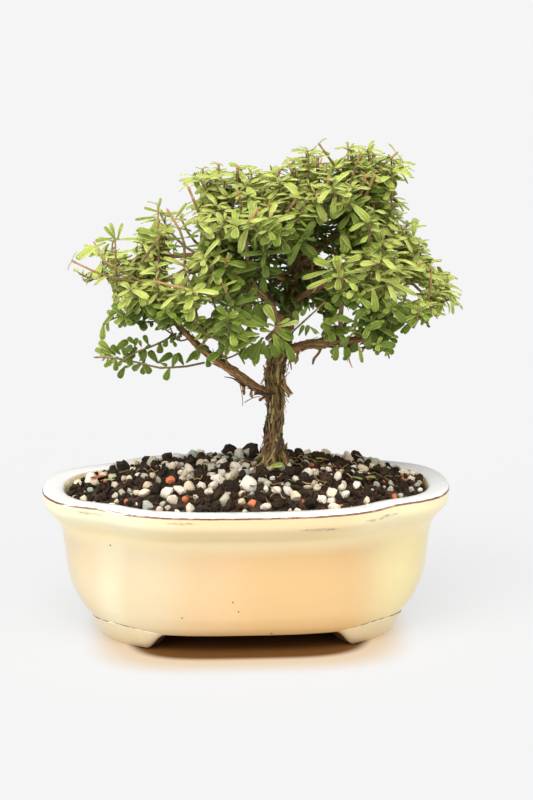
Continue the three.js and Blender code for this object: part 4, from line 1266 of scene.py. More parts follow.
# %% Shoots of the imported model: limb, place along it, tip, leaf pairs, leaf length, tone
SHOOTS = [
    ("leftMid", 1, (-74, -16, 168), 4, 10, "light"), ("leftMid", 0.93, (-66, -6, 178), 4, 11, "light"),
    ("leftMid", 0.84, (-56, -20, 184), 4, 11, "light"), ("leftMid", 0.8, (-66, -24, 157), 4, 11, "mid"),
    ("leftMid", 0.74, (-49, 10, 184), 4, 11, "mid"), ("leftMid", 0.62, (-38, -1, 192), 4, 10, "light"),
    ("leftMid", 0.52, (-29, -20, 192), 4, 11, "light"), ("leftMid", 0.58, (-28, -38, 174), 4, 12, "light"),
    ("leftMid", 0.4, (-7, -36, 170), 4, 12, "mid"), ("leftMid", 0.25, (6, -46, 180), 4, 12, "light"),
    ("leftMain", 1, (-62, -22, 146), 4, 9, "mid"), ("leftMain", 0.52, (-66, -27, 130), 6, 7.5, "mid"),
    ("leftMain", 0.68, (-50, -34, 134), 4, 7, "mid"), ("leftMain", 0.92, (-45, -36, 161), 4, 11, "mid"),
    ("leftMain", 0.76, (-33, -42, 154), 4, 11, "mid"), ("leftMain", 0.55, (-17, -39, 148), 4, 11, "mid"),
    ("leftMain", 0.36, (-10, -24, 143), 4, 8, "dark"), ("leftUpper", 1, (-26, -8, 200), 4, 10, "light"),
    ("leftUpper", 0.93, (-20, -26, 186), 4, 11, "mid"), ("leftUpper", 0.8, (-18, 8, 206), 4, 11, "light"),
    ("leftUpper", 0.68, (-3, -6, 209), 4, 11, "light"), ("leftUpper", 0.4, (9, 10, 206), 4, 11, "mid"),
    ("leftUpper", 0.6, (-13, 36, 187), 4, 12, "mid"), ("frontUpper", 0.6, (12, -20, 208), 4, 12, "light"),
    ("frontUpper", 1, (-1, -42, 192), 4, 12, "light"), ("frontUpper", 0.4, (22, -42, 186), 4, 12, "light"),
    ("trunk", 1, (27, 0, 219), 4, 11, "light"), ("trunk", 0.93, (35, 13, 214), 4, 11, "mid"),
    ("trunk", 0.86, (28, -28, 203), 4, 12, "light"), ("trunk", 0.82, (34, 38, 192), 4, 12, "mid"),
    ("rightUpper", 0.84, (45, -8, 215), 4, 11, "light"), ("rightUpper", 1, (57, 5, 217), 4, 11, "light"),
    ("rightUpper", 0.94, (67, -11, 213), 4, 11, "light"), ("rightUpper", 0.82, (72, 10, 202), 4, 11, "mid"),
    ("rightUpper", 0.62, (42, -32, 200), 4, 12, "light"), ("rightUpper", 0.5, (58, -32, 183), 4, 12, "mid"),
    ("rightUpper", 0.55, (58, 33, 188), 4, 12, "mid"), ("backRight", 1, (81, 8, 184), 4, 11, "mid"),
    ("backRight", 0.85, (78, 42, 164), 4, 12, "dark"), ("rightMid", 0.9, (84, 10, 168), 4, 11, "mid"),
    ("rightMid", 1, (91, -12, 155), 4, 11, "light"), ("rightMain", 1, (82, -22, 141), 4, 11, "light"),
    ("rightMain", 0.84, (72, -38, 154), 4, 11, "light"), ("rightMain", 0.7, (60, -25, 128), 4, 9, "dark"),
    ("rightMain", 0.46, (43, -24, 125), 4, 9, "dark"), ("rightMain", 0.6, (52, -36, 149), 4, 10, "mid"),
    ("frontRight", 0.86, (34, -50, 171), 4, 14, "light"), ("frontRight", 1, (54, -50, 166), 4, 14, "light"),
    ("front", 0.5, (13, -32, 143), 4, 13, "light"), ("front", 0.28, (3, -19, 131), 4, 11, "mid"),
    ("front", 1, (-8, -46, 158), 4, 12, "light"), ("backLeft", 1, (-54, 32, 158), 4, 12, "dark"),
    ("backLeft", 0.8, (-30, 40, 176), 4, 12, "dark"), ("back", 1, (20, 48, 172), 4, 12, "dark"),
    ("back", 0.6, (46, 42, 150), 4, 12, "dark")]
TONES = {"light": [], "mid": [], "dark": []}
for number, shoot in enumerate(SHOOTS):
    TONES[shoot[5]].append(f"shoot_{number + 1:02d}")
print("shoots of each tone:", {tone: len(names) for tone, names in TONES.items()})


# %% The crown as the camera sees it, in millimetres on an upright plane near its front
EYE = camera.location / MM
CROWN_MIDDLE = Vector((17, 0, 164))
SEEN_PLANE = -20
CROWN_OUTLINE = [
    (-80, 166), (-73, 177), (-66, 181), (-60, 187), (-54, 187), (-53, 180), (-51, 174), (-49, 174),
    (-49, 184), (-48, 189), (-44, 195), (-37, 196), (-34, 188), (-31, 188), (-31, 195), (-25, 197),
    (-22, 193), (-21, 200), (-32, 202), (-30, 207), (-25, 212), (-18, 213), (-14, 216), (-10, 211),
    (-7, 210), (-5, 216), (2, 217), (5, 211), (8, 207), (10, 213), (11, 218), (14, 216), (17, 213),
    (19, 217), (22, 220), (24, 225), (27, 222), (29, 217), (33, 222), (37, 217), (44, 224), (47, 216),
    (50, 222), (56, 225), (60, 219), (65, 219), (71, 210), (70, 204), (63, 203), (70, 202), (69, 198),
    (63, 197), (67, 195), (74, 190), (78, 182), (78, 172), (88, 167), (92, 160), (93, 150), (84, 145),
    (73, 141), (66, 136), (62, 127), (56, 128), (54, 133), (51, 130), (50, 123), (47, 123), (45, 126),
    (36, 126), (35, 136), (21, 136), (21, 125), (17, 113), (0, 114), (-10, 120), (-14, 126), (-24, 121),
    (-36, 118), (-57, 117), (-67, 126), (-67, 136), (-61, 141), (-66, 148), (-61, 153), (-68, 158),
    (-76, 163)]
# gaps that show the background: x, z and how far each reaches
WINDOWS = [
    (-7, 125, 4, 6), (28, 143, 5, 6), (-29, 131, 6, 3), (-19, 149, 3, 4), (-68, 169, 4, 3),
    (-62, 179, 3, 3), (-52, 178, 4, 4), (-26, 181, 6, 5), (-27, 174, 5, 3), (-16, 133, 4, 4),
    (72, 158, 4, 2), (57, 216, 3, 1), (-40, 131, 3, 3), (38, 214, 2, 1), (74, 181, 3, 2), (32, 212, 2, 1),
    (-48, 138, 15, 4), (64, 175, 2, 2), (-1, 208, 2, 1), (-63, 156, 5, 7), (-76, 163, 5, 3),
    (66, 200, 3, 5), (-52, 186, 4, 4), (31, 133, 12, 2), (47, 135, 7, 2), (-31, 166, 4, 2),
    (-23, 165, 3, 2), (-30, 141, 3, 2), (-25, 137, 3, 3), (-20, 133, 3, 3)]
# parts of the crown where leaves grow older and darker or younger and brighter, which also paints the crown's
# shade and light: x, z, how far each reaches, the change
AGE_AND_LIGHT_PATCHES = [
    (16, 165, 26, 14, -0.65), (29, 182, 9, 18, -0.8), (52, 202, 6, 7, -0.4), (48, 142, 22, 12, -0.35),
    (-42, 150, 22, 8, -0.3), (-3, 176, 12, 8, -0.45), (-5, 154, 10, 7, -0.5), (37, 154, 8, 6, -0.5),
    (74, 146, 12, 5, -0.35), (57, 166, 22, 9, 0.3), (-25, 163, 18, 6, 0.25), (9, 145, 10, 6, 0.25),
    (-61, 176, 16, 14, 0.15), (-16, 193, 16, 7, 0.35), (67, 182, 12, 18, 0.5), (-34, 172, 14, 9, 0.25),
    (18, 203, 12, 8, 0.25), (38, 192, 14, 9, -0.35), (45, 188, 7, 6, -0.3), (-8, 180, 8, 6, -0.35),
    (10, 180, 10, 6, -0.25), (27, 169, 8, 9, -0.3), (-50, 155, 8, 5, -0.35), (-40, 146, 12, 6, -0.35),
    (-8, 155, 12, 5, -0.3), (5, 146, 10, 5, -0.3), (61, 155, 8, 5, -0.4), (-59, 138, 10, 8, -0.3),
    (53, 205, 8, 6, -0.35), (-50, 129, 9, 6, -0.3), (10, 189, 6, 5, 0.3), (32, 137, 10, 8, 0.35),
    (61, 200, 6, 8, 0.25), (73, 163, 9, 6, 0.35), (-45, 163, 18, 5, 0.15), (-30, 177, 10, 8, 0.15),
    (-25, 197, 8, 6, 0.2), (-3, 181, 13, 6, -0.35), (10, 181, 5, 6, -0.2), (-4, 189, 12, 4, -0.15),
    (-14, 172, 7, 5, 0.4), (-36, 181, 8, 6, 0.3), (-5, 199, 26, 6, 0.28), (36, 206, 14, 6, 0.25),
    (61, 193, 5, 9, 0.4), (48, 176, 8, 8, 0.3), (53, 163, 5, 4, 0.35), (73, 163, 8, 5, 0.35),
    (36, 155, 5, 4, 0.3), (-29, 155, 8, 4, 0.3), (-16, 146, 6, 5, 0.3), (30, 197, 8, 4, -0.3),
    (27, 172, 5, 5, -0.3), (-42, 163, 6, 4, -0.25), (-50, 155, 6, 4, -0.3), (-10, 163, 8, 4, -0.2),
    (44, 147, 6, 4, -0.25), (70, 147, 6, 4, -0.25), (-50, 129, 8, 4, -0.2), (70, 172, 5, 4, -0.15)]
# parts whose leaves are only tinted darker or brighter, as painted shade and light, and grow no other way
LIGHT_AND_SHADE_TINTS = [
    (4, 199, 24, 8, 0.4), (-22, 198, 8, 7, 0.2), (36, 210, 16, 8, 0.2), (53, 205, 8, 6, -0.6),
    (63, 192, 8, 12, 0.4), (64, 178, 10, 8, 0.25), (33, 193, 14, 10, -0.3), (-3, 184, 17, 8, -0.25),
    (10, 178, 8, 8, -0.15), (-35, 176, 12, 10, 0.35), (-50, 171, 8, 8, 0.4), (-68, 163, 7, 7, 0.3),
    (-30, 160, 9, 9, 0.2), (-50, 154, 8, 6, -0.4), (1, 155, 7, 6, -0.25), (45, 169, 8, 10, 0.35),
    (53, 163, 7, 6, 0.2), (74, 163, 11, 8, 0.55), (88, 155, 8, 10, 0.4), (27, 171, 6, 6, -0.3),
    (57, 134, 11, 8, -0.2), (45, 153, 7, 6, -0.35), (74, 146, 10, 6, -0.25), (-36, 146, 13, 6, -0.25),
    (-10, 145, 8, 6, -0.2)]
# the youth deep inside the crown, and the depth over which it falls: leaves deep inside are older, and
# painted darker as shade
OLDEST, AGE_FALL = 0.42, 34
# a twig's tone from the youth of its place, with its painted shade and light
TONE_RANGE = (-0.12, 1.12)


def seen(place):
    """Where the camera sees a place: x and z on the upright plane"""
    at = EYE.lerp(place, (SEEN_PLANE - EYE.y) / (place.y - EYE.y))
    return at.x, at.z


def edges_at(x):
    """The heights at which the crown's outline crosses an upright line"""
    ends = zip(CROWN_OUTLINE, [*CROWN_OUTLINE[1:], CROWN_OUTLINE[0]])
    return [b + (d - b) * (x - a) / (c - a) for (a, b), (c, d) in ends if (a <= x) != (c <= x)]


def in_outline(place, margin):
    """Whether a place lies in the outline by a margin, measured away from the crown's middle"""
    x, z = seen(place)
    away = Vector((x - CROWN_MIDDLE.x, z - CROWN_MIDDLE.z)).normalized() * margin
    return sum(height > z + away.y for height in edges_at(x + away.x)) % 2 == 1


def in_crown(place, margin=-1.0):
    """Whether a leaf may be there: inside the outline, and in none of the gaps"""
    x, z = seen(place)
    clear = all(((x - a) / c) ** 2 + ((z - b) / d) ** 2 > 1 for a, b, c, d in WINDOWS)
    return clear and in_outline(place, margin)


def near(patches, place):
    """What soft round patches, as the camera sees them, add at a place"""
    x, z = seen(place)
    return sum(change * math.exp(-((x - a) / c) ** 2 - ((z - b) / d) ** 2) for a, b, c, d, change in patches)


def youth(place):
    """How young the leaves are at a place, with the crown's shade and light painted in: 1 on top of the
    crown, 0 deep inside
    """
    x, z = seen(place)
    depth = max(edges_at(x), default=z) - z
    return OLDEST + (1 - OLDEST) * math.exp(-max(depth, 0) / AGE_FALL) + near(AGE_AND_LIGHT_PATCHES, place)


# %% How a twig and its leaves grow
UP = Vector((0, 0, 1))
# where leaves turn their faces, and by how much: up to the light, or to the front in the shade
TO_LIGHT, TO_FRONT = Vector((-0.1, -0.5, 0.86)), Vector((0, -0.85, 0.5))
IN_LIGHT, IN_SHADE, ON_SPRAYS = (TO_LIGHT, 0.42), (TO_FRONT, 0.5), (TO_FRONT, 0.8)
# numbers of the leaf shapes that hang over, and of those that lie nearly flat
DROOPING, FLAT = (0, 5), (5, 7)
SHORTENED = 0.68
# from the lowest pair to the highest: opening from the twig, size and breadth
LEAF_OPENING, PAIR_SIZES, PAIR_BREADTHS = (1.3, 1.0), (0.66, 1.05), (1.2, 0.9)
# size of the new pairs inside the last, how much they close, and how much younger they are
NEW_SIZES, NEW_CLOSING, NEW_YOUTH = (1, 0.62, 0.36), 0.24, 0.2
AGE_ALONG, AGE_MIDDLE, YOUNGEST = 0.34, 0.55, 1.3
draw = random.Random(5)


def between(low, high, share):
    return low + (high - low) * share


def twig_bend(start, ahead, tip, past, upright):
    """A twig that leaves its limb partly along it, and turns up to the light before the tip"""
    heading = ((tip - start).normalized() + UP * upright).normalized()
    end = tip - heading * past
    reach = (end - start).length
    drawn = (start + ahead * reach * 0.22).lerp(start.lerp(end, 0.5), 0.5)
    return Bend(start, drawn.lerp(end - heading * reach * 0.5, min(upright, 0.7)), end)


def turned(reach, face):
    """The turn of a leaf from the way it points and the way it faces"""
    return tuple(Matrix((reach.cross(face), reach, face)).transposed().to_euler())


def leaf_row(twig, u, side, turn, opening, size, broad, tone, light, drooping):
    """A leaf as a row of the plan: its place, turn, stretch, shape and tone. Its face turns
    from the twig's tip to the light by a share. None if it grows out of the crown"""
    ahead = twig.ahead(u)
    aside = (side - ahead * side.dot(ahead)).normalized()
    outward = aside * math.cos(turn) + ahead.cross(aside) * math.sin(turn)
    reach = ahead * math.cos(opening) + outward * math.sin(opening)
    face = (ahead - reach * ahead.dot(reach)).normalized().lerp(*light)
    face = (face - reach * face.dot(reach)).normalized()
    start, tip = twig.at(u), reach - face * (0.5 if drooping else 0.2)
    if not all(in_crown(start + tip * size * part) for part in (0.5, 1)):
        size *= SHORTENED
        if not all(in_crown(start + tip * size * part) for part in (0.3, 1)):
            return None
    shape = draw.randrange(*(DROOPING if drooping else FLAT))
    return (tuple(start), turned(reach, face), (size * broad, size, size), shape, tone)


def grow_leaves(twig, pairs, length, breadth, tone, first=0.25, light=IN_LIGHT, new_pairs=2,
                drooping=True):
    """Opposite pairs, each turned a quarter from the last: short and broad low down, long and
    narrow at the tip, with two pairs of small new leaves inside the last"""
    rows, roll = [], draw.uniform(0, math.pi)
    side = twig.ahead(0.6).orthogonal()
    for pair in range(pairs + new_pairs):
        new = max(pair - pairs + 1, 0)
        share = min(pair / (pairs - 1), 1)
        for half in (0, 1):
            turn = roll + (pair + 2 * half) * math.pi / 2 + draw.uniform(-0.3, 0.3)
            opening = between(*LEAF_OPENING, share) - NEW_CLOSING * new + draw.uniform(-0.2, 0.2)
            size = length * between(*PAIR_SIZES, share) * NEW_SIZES[new] * draw.uniform(0.8, 1.15)
            broad = breadth * between(*PAIR_BREADTHS, share) * draw.uniform(0.88, 1.12)
            age = tone + AGE_ALONG * (share - AGE_MIDDLE) + NEW_YOUTH * new + draw.uniform(-0.13, 0.13)
            rows.append(leaf_row(twig, between(first, 1, share), side, turn, opening, size, broad,
                                 min(max(age, 0), YOUNGEST), light, drooping))
    return [row for row in rows if row]


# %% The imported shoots
# how far a tone's shoots turn upwards, and how broad their leaves are
TONE_GROWTH = {"light": (2.2, 0.9), "mid": (1.7, 1.1), "dark": (0.8, 1.35)}
LIGHT_ABOVE, MID_ABOVE = 0.76, 0.36
PAIR_SPACING = 2.7
MOST_PAIRS = 8
LEAF_TRIM = 0.76
SHOOT_GIRTH, SPRAY_GIRTH = (0.65, 0.42), (0.5, 0.34)
TRIES, DRAWN_BACK = 4, 0.13
leaf_rows = {tone: [] for tone in TONES}
twigs = []


def tone_of(level):
    return "light" if level > LIGHT_ABOVE else "mid" if level > MID_ABOVE else "dark"


def stays_in(twig):
    return in_outline(twig.at(0.25), 1) and all(in_crown(twig.at(u), 3) for u in (0.5, 0.75, 1))


def add_shoot(start, ahead, tip, pairs, length, tone, girth, kept_in=False):
    """Grows one shoot, or none if it has to be kept in the outline and isn't. Any other is
    drawn back until its end is in"""
    upright, breadth = TONE_GROWTH[tone]
    twig = twig_bend(start, ahead, tip, 0.5 * length, upright)
    for _ in range(TRIES):
        if not kept_in and not in_crown(twig.at(1), 2):
            tip = tip.lerp(start, DRAWN_BACK)
            twig = twig_bend(start, ahead, tip, 0.5 * length, upright)
    if kept_in and not stays_in(twig):
        return None
    twigs.append((twig, girth))
    light = IN_SHADE if tone == "dark" else IN_LIGHT
    # the leaves' tone is their age with painted shade and light
    age = between(*TONE_RANGE, youth(tip)) + near(LIGHT_AND_SHADE_TINTS, tip)
    leaf_rows[tone].extend(grow_leaves(twig, pairs, length, breadth, age, light=light))
    return twig


# shoots whose twig is given as points: level ones under the crown, whose broad old leaves turn their faces to
# the front, and with a length of 0 the bare stems of the rosettes and of the low sprays, whose leaves are
# marked: points, leaf length, breadth, youth
SPRAYS = {10: ([(-39, -22, 149), (-50, -24, 148), (-58, -24, 146), (-62, -24, 144)], 8, 1.15, 0.5),
          11: ([(-19, -22, 126), (-27, -25, 125), (-34, -27, 125), (-39, -27, 125), (-43, -27, 126),
                (-50, -27, 128), (-55, -27, 129), (-61, -28, 130), (-66, -28, 130)], 0, 0, 0),
          12: ([(-31, -22, 139), (-37, -25, 136), (-42, -26, 134), (-48, -27, 132), (-53, -28, 129)],
               0, 0, 0),
          43: ([(58, -18, 138), (60, -22, 133), (61, -25, 128)], 9.5, 1.2, 0.2),
          44: ([(42, -15, 133), (43, -20, 130), (44, -24, 126)], 9, 1.2, 0.15),
          46: ([(36, -32, 167), (37, -36, 167), (37, -40, 168)], 0, 0, 0),
          47: ([(50, -32, 163), (51, -36, 165), (51, -40, 167)], 0, 0, 0),
          48: ([(14, -16, 142), (14, -25, 143), (13, -33, 143)], 0, 0, 0),
          49: ([(6, -12, 134), (6, -20, 136), (6, -30, 138)], 0, 0, 0)}
SPRAY_SPACING = 3.9
for number, (limb, place, tip, pairs, length, tone) in enumerate(SHOOTS):
    start, ahead, tip = ways[limb].at(place), ways[limb].ahead(place), Vector(tip)
    if number in SPRAYS:
        points, length, breadth, age = SPRAYS[number]
        way = Way(points)
        twigs.append((way, SPRAY_GIRTH))
        pairs = max(round(way.length() / SPRAY_SPACING), 3)
        if length:
            leaf_rows["dark"] += grow_leaves(way, pairs, length, breadth, age, 0.12, ON_SPRAYS, 1, False)
    else:
        pairs = max(pairs, round((tip - start).length / PAIR_SPACING) - 1)
        add_shoot(start, ahead, tip, min(pairs, MOST_PAIRS), LEAF_TRIM * length, tone, SHOOT_GIRTH)
print("leaves on packed shoots:", {tone: len(rows) for tone, rows in leaf_rows.items()})

# %% Fillers: tips spread evenly through the crown, each joined to the nearest wood below it
FILLERS = 760
FILL_REACH = 13
FILL_SPACING = 5.2
LOWEST_FILLER = 134
TIP_MARGIN = 2.5
SHORTEST_TWIG, LONGEST_TWIG = 7, 27
FILLER_PAIRS, FILLER_LEAVES, FILLER_GIRTH = (3, 6), (5.9, 8.9), (0.42, 0.3)
# a twig reaches up more easily than aside: how much a step aside counts, and the best rise
ASIDE_COUNTS, BEST_RISE = 1.5, 11
FRONT, SHADE = -14, 0.12
# no filler grows before the bare trunk: the middle and reach in x and in z, and how deep
BARE, BARE_DEPTH = ((11, 9), (142, 17)), -2
THIN_PLACES = [(-19, -4, 206), (-9, -4, 208), (1, -4, 209), (9, -6, 209), (26, -6, 218), (41, -6, 216),
               (56, -6, 216), (68, -6, 189), (76, -6, 184), (84, -6, 166), (10, 20, 164), (-13, -10, 200),
               (34, -10, 143), (24, 0, 151), (38, -14, 146), (-70, -14, 174)]
grown = [twigs[number][0] for number in range(len(SHOOTS)) if number not in SPRAYS]
limbs = [way for name, way in ways.items() if name != "trunk"]


def kept_clear(tip):
    """Whether a tip would hide the bare trunk, or stand in the shade in front"""
    before_trunk = tip.y < BARE_DEPTH and all(abs(a - b) < c for a, (b, c) in zip(seen(tip), BARE))
    return tip.y < FRONT and youth(tip) < SHADE or before_trunk


def filler_tips():
    anchors = [way.at(u) for way in grown for u in (0.4, 0.6, 0.8, 1)]
    anchors += [way.at(u) for way in limbs for u in (0.6, 0.8, 1)]
    anchors += [Vector(place) for place in THIN_PLACES for _ in range(4)]
    tips = []
    for _ in range(FILLERS * 120):
        if len(tips) == FILLERS:
            break
        offset = Vector([draw.uniform(-1, 1) for _ in range(3)])
        tip = draw.choice(anchors) + offset * FILL_REACH
        if offset.length > 1 or tip.z < LOWEST_FILLER or not in_crown(tip, TIP_MARGIN):
            continue
        if not kept_clear(tip) and all((tip - other).length > FILL_SPACING for other in tips):
            tips.append(tip)
    return tips


def spots_on(way, places):
    """Points of a way and where it heads there"""
    return [(way.at(u), way.ahead(u)) for u in places]


def join_fillers(tips):
    hosts = [spot for way in limbs for spot in spots_on(way, np.linspace(0.3, 1, 12))]
    hosts += spots_on(ways["trunk"], np.linspace(0.62, 1, 8))
    hosts += [spot for way in grown for spot in spots_on(way, (0.15, 0.3, 0.45, 0.6))]
    for tip in sorted(tips, key=lambda tip: (tip - CROWN_MIDDLE).length):
        reaches = [((tip - point).xy.length * ASIDE_COUNTS + abs(tip.z - point.z - BEST_RISE), number)
                   for number, (point, _) in enumerate(hosts)
                   if SHORTEST_TWIG < (tip - point).length < LONGEST_TWIG and point.z < tip.z - 2]
        if not reaches:
            continue
        start, ahead = hosts[min(reaches)[1]]
        level = youth(tip)
        fewest, most = FILLER_PAIRS
        pairs = min(max(fewest, round((tip - start).length / PAIR_SPACING) - 1), most)
        length = between(*FILLER_LEAVES, min(max(level, 0), 1)) * draw.uniform(0.85, 1.15)
        twig = add_shoot(start, ahead, tip, pairs, length, tone_of(level), FILLER_GIRTH, True)
        if twig:
            hosts += spots_on(twig, (0.3, 0.5, 0.7))


join_fillers(filler_tips())
print("twigs:", len(twigs), "leaves:", {tone: len(rows) for tone, rows in leaf_rows.items()})

# %% [markdown]
# ## Marked twigs and leaves
# Some twigs and leaves give this tree its face: bare pruned ends that stand out of the top, a long twig
# across the left side, bright rosettes in front, and thin sprays and pairs that stand against the background.
# They are placed one by one, in whole millimetres: those in front as the camera sees them, on an upright
# plane, and the low sprays on a plane of their own.

# %% Marked twigs: points, and the radius at the foot and at the tip
MARKED_TWIGS = [
    ([(-25, -20, 154), (-46, -30, 162), (-61, -33, 166), (-74, -33, 172)], 0.68, 0.45),
    ([(-45, -34, 163), (-61, -38, 173)], 0.54, 0.4),
    ([(1, -30, 152), (-18, -42, 159), (-39, -46, 165)], 0.81, 0.54),
    ([(-56, -30, 161), (-56, -34, 181)], 0.5, 0.36),
    ([(-27, -26, 154), (-27, -30, 172), (-28, -31, 182), (-34, -32, 193)], 0.6, 0.5),
    ([(-38, -28, 160), (-38, -30, 178), (-38, -31, 195)], 0.5, 0.36),
    ([(-45, -30, 171), (-37, -33, 183)], 0.6, 0.5), ([(-13, -20, 128), (-11, -26, 147)], 0.54, 0.4),
    ([(0, -28, 168), (-1, -34, 176), (-1, -40, 186), (3, -44, 194)], 0.81, 0.54),
    ([(-16, -14, 179), (-21, -18, 191), (-25, -20, 201)], 0.62, 0.54),
    ([(40, -8, 207), (31, -12, 219)], 0.59, 0.4), ([(47, -4, 211), (45, -6, 216)], 0.54, 0.5),
    ([(44, -16, 202), (48, -18, 215)], 0.54, 0.4), ([(56, -10, 207), (64, -14, 215)], 0.59, 0.45),
    ([(30, -16, 206), (30, -18, 213)], 0.62, 0.59), ([(33, -18, 204), (33, -20, 210)], 0.62, 0.59),
    ([(34, -22, 199), (34, -24, 205)], 0.62, 0.62), ([(48, -20, 198), (50, -22, 206)], 0.81, 0.76),
    ([(-18, -8, 203), (-19, -9, 208)], 0.54, 0.54), ([(-12, -8, 204), (-12, -9, 210)], 0.54, 0.54),
    ([(-4, -10, 203), (-4, -11, 209)], 0.59, 0.59), ([(-3, -26, 191), (-4, -28, 200)], 0.62, 0.54),
    ([(23, -14, 201), (18, -16, 210)], 0.68, 0.62), ([(20, -14, 208), (20, -15, 212)], 0.45, 0.4),
    ([(11, -12, 199), (14, -14, 208)], 0.62, 0.62),
    ([(41, -18, 133), (40, -22, 145), (40, -30, 158), (39, -36, 165)], 1.17, 0.81),
    ([(51, -20, 133), (52, -26, 146), (52, -34, 158)], 0.99, 0.72),
    ([(20, -18, 139), (26, -20, 145), (33, -22, 152)], 0.5, 0.35),
    ([(8, -26, 137), (12, -34, 143)], 1.1, 0.8),
    ([(47, -16, 187), (50, -18, 196), (54, -20, 206)], 1.0, 0.7),
    ([(15, -27, 189), (20, -29, 197)], 0.7, 0.6),
    ([(72, -20, 140), (78, -22, 153), (79, -24, 167)], 0.62, 0.4),
    ([(65, -20, 165), (75, -24, 169)], 0.54, 0.4)]

# %% Marked leaves: base, tip, breadth and youth
MARKED_LEAVES = [
    ((40, -26, 175), (40, -24, 182), 0.8, 0.7), ((44, -28, 175), (40, -24, 182), 0.8, 0.75),
    ((-60, -34, 180), (-72, -40, 174), 0.7, 1.0), ((-55, -34, 181), (-44, -36, 181), 0.65, 1.0),
    ((-56, -34, 180), (-63, -34, 182), 0.7, 0.95), ((-56, -34, 181), (-58, -33, 188), 0.7, 0.95),
    ((-55, -34, 181), (-53, -34, 188), 0.7, 0.95)]
# leaves of the rosettes in front, of thin pairs at the left, and under the right limb: x and z
# of the base and of the tip as the camera sees them, breadth and youth
ROSETTE_LEAVES = [
    (12, 143, 7, 151, 1.1, 0.7), (13, 142, 18, 145, 0.7, 0.95), (13, 141, 22, 144, 0.6, 0.95),
    (9, 141, 0, 148, 1.2, 0.3), (7, 141, -3, 144, 0.8, 0.45), (5, 138, -4, 138, 0.95, 0.55),
    (10, 139, 5, 140, 1.2, 0.5), (5, 137, -6, 132, 0.75, 0.25), (6, 136, 1, 127, 1.05, 0.08),
    (1, 133, -2, 127, 1.4, 0.1), (5, 131, 3, 125, 1.2, 0.15), (7, 135, 6, 129, 1.45, 0.15),
    (9, 135, 13, 128, 1.15, 0.05), (11, 138, 15, 130, 1.5, 0.42), (12, 139, 20, 136, 1.3, 0.22),
    (16, 135, 20, 126, 0.95, 0.12), (14, 134, 17, 128, 1.1, 0.05), (6, 130, 9, 128, 1.2, 0.3),
    (8, 143, 3, 151, 1.3, 0.02), (16, 141, 19, 138, 0.9, 0.1), (2, 145, -2, 151, 1.2, 0.02),
    (9, 145, 8, 153, 1.2, 0.02), (4, 141, 1, 145, 1.3, 0.02), (22, 137, 24, 142, 0.9, 0.05),
    (25, 137, 26, 142, 1.1, 0.1), (31, 138, 28, 140, 1.1, 0.4), (36, 167, 28, 171, 1.2, 0.62),
    (39, 165, 38, 172, 1.6, 0.7), (37, 166, 23, 162, 0.4, 0.85), (38, 163, 25, 158, 0.4, 0.85),
    (39, 163, 39, 157, 1.35, 0.75), (42, 169, 49, 172, 1.0, 0.65), (40, 164, 51, 166, 0.4, 0.85),
    (41, 166, 46, 169, 0.7, 0.55), (51, 166, 57, 172, 0.9, 0.7), (52, 164, 47, 162, 1.3, 0.8),
    (51, 162, 43, 160, 0.9, 0.35), (54, 162, 66, 160, 0.4, 0.85), (58, 162, 73, 155, 0.42, 0.85),
    (54, 158, 56, 147, 0.85, 0.65), (57, 163, 67, 168, 0.5, 0.75), (0, 140, -5, 136, 1.2, 0.1),
    (2, 135, -4, 134, 1.1, 0.1), (4, 134, -1, 130, 1.1, 0.05), (8, 133, 9, 127, 1.3, 0.05),
    (13, 136, 17, 131, 1.2, 0.1), (0, 146, -5, 149, 1.2, 0.1), (26, 150, 23, 146, 1.2, 0.1),
    (27, 141, 30, 138, 1.1, 0.2), (22, 143, 20, 148, 1.3, 0.1), (36, 137, 33, 142, 1.4, 0.1),
    (46, 143, 50, 149, 1.2, 0.15), (46, 143, 39, 145, 1.2, 0.12), (52, 139, 58, 143, 1.2, 0.2),
    (-27, 176, -34, 177, 0.5, 0.3), (-27, 176, -20, 177, 0.45, 0.3), (-27, 180, -34, 179, 0.5, 0.3),
    (-27, 180, -21, 181, 0.6, 0.25), (-27, 171, -20, 171, 0.5, 0.2), (-27, 172, -32, 174, 0.6, 0.25),
    (-29, 184, -24, 187, 0.6, 0.55), (-29, 184, -24, 183, 0.6, 0.3), (-31, 188, -26, 195, 0.5, 0.75),
    (-31, 189, -36, 191, 0.5, 0.8), (-31, 188, -26, 188, 0.6, 0.6), (-38, 189, -48, 188, 0.35, 0.75),
    (-38, 191, -44, 193, 0.6, 0.8), (-37, 190, -33, 189, 0.6, 0.8), (-38, 189, -41, 183, 0.8, 0.6),
    (-37, 181, -47, 184, 0.7, 0.6), (-38, 178, -47, 182, 0.7, 0.5), (-37, 184, -31, 183, 0.9, 0.7),
    (-38, 192, -37, 197, 0.7, 0.9), (-58, 180, -65, 179, 0.8, 0.8), (-57, 180, -61, 185, 0.8, 0.7),
    (40, 132, 36, 129, 1.4, 0.1), (42, 133, 44, 127, 1.5, 0.1), (39, 133, 38, 126, 1.1, 0.15),
    (48, 133, 50, 125, 0.6, 0.4), (53, 137, 52, 132, 1.5, 0.1), (44, 137, 41, 132, 1.3, 0.05),
    (36, 145, 32, 140, 1.2, 0.1), (38, 142, 33, 144, 1.3, 0.15), (38, 148, 33, 151, 1.3, 0.12)]
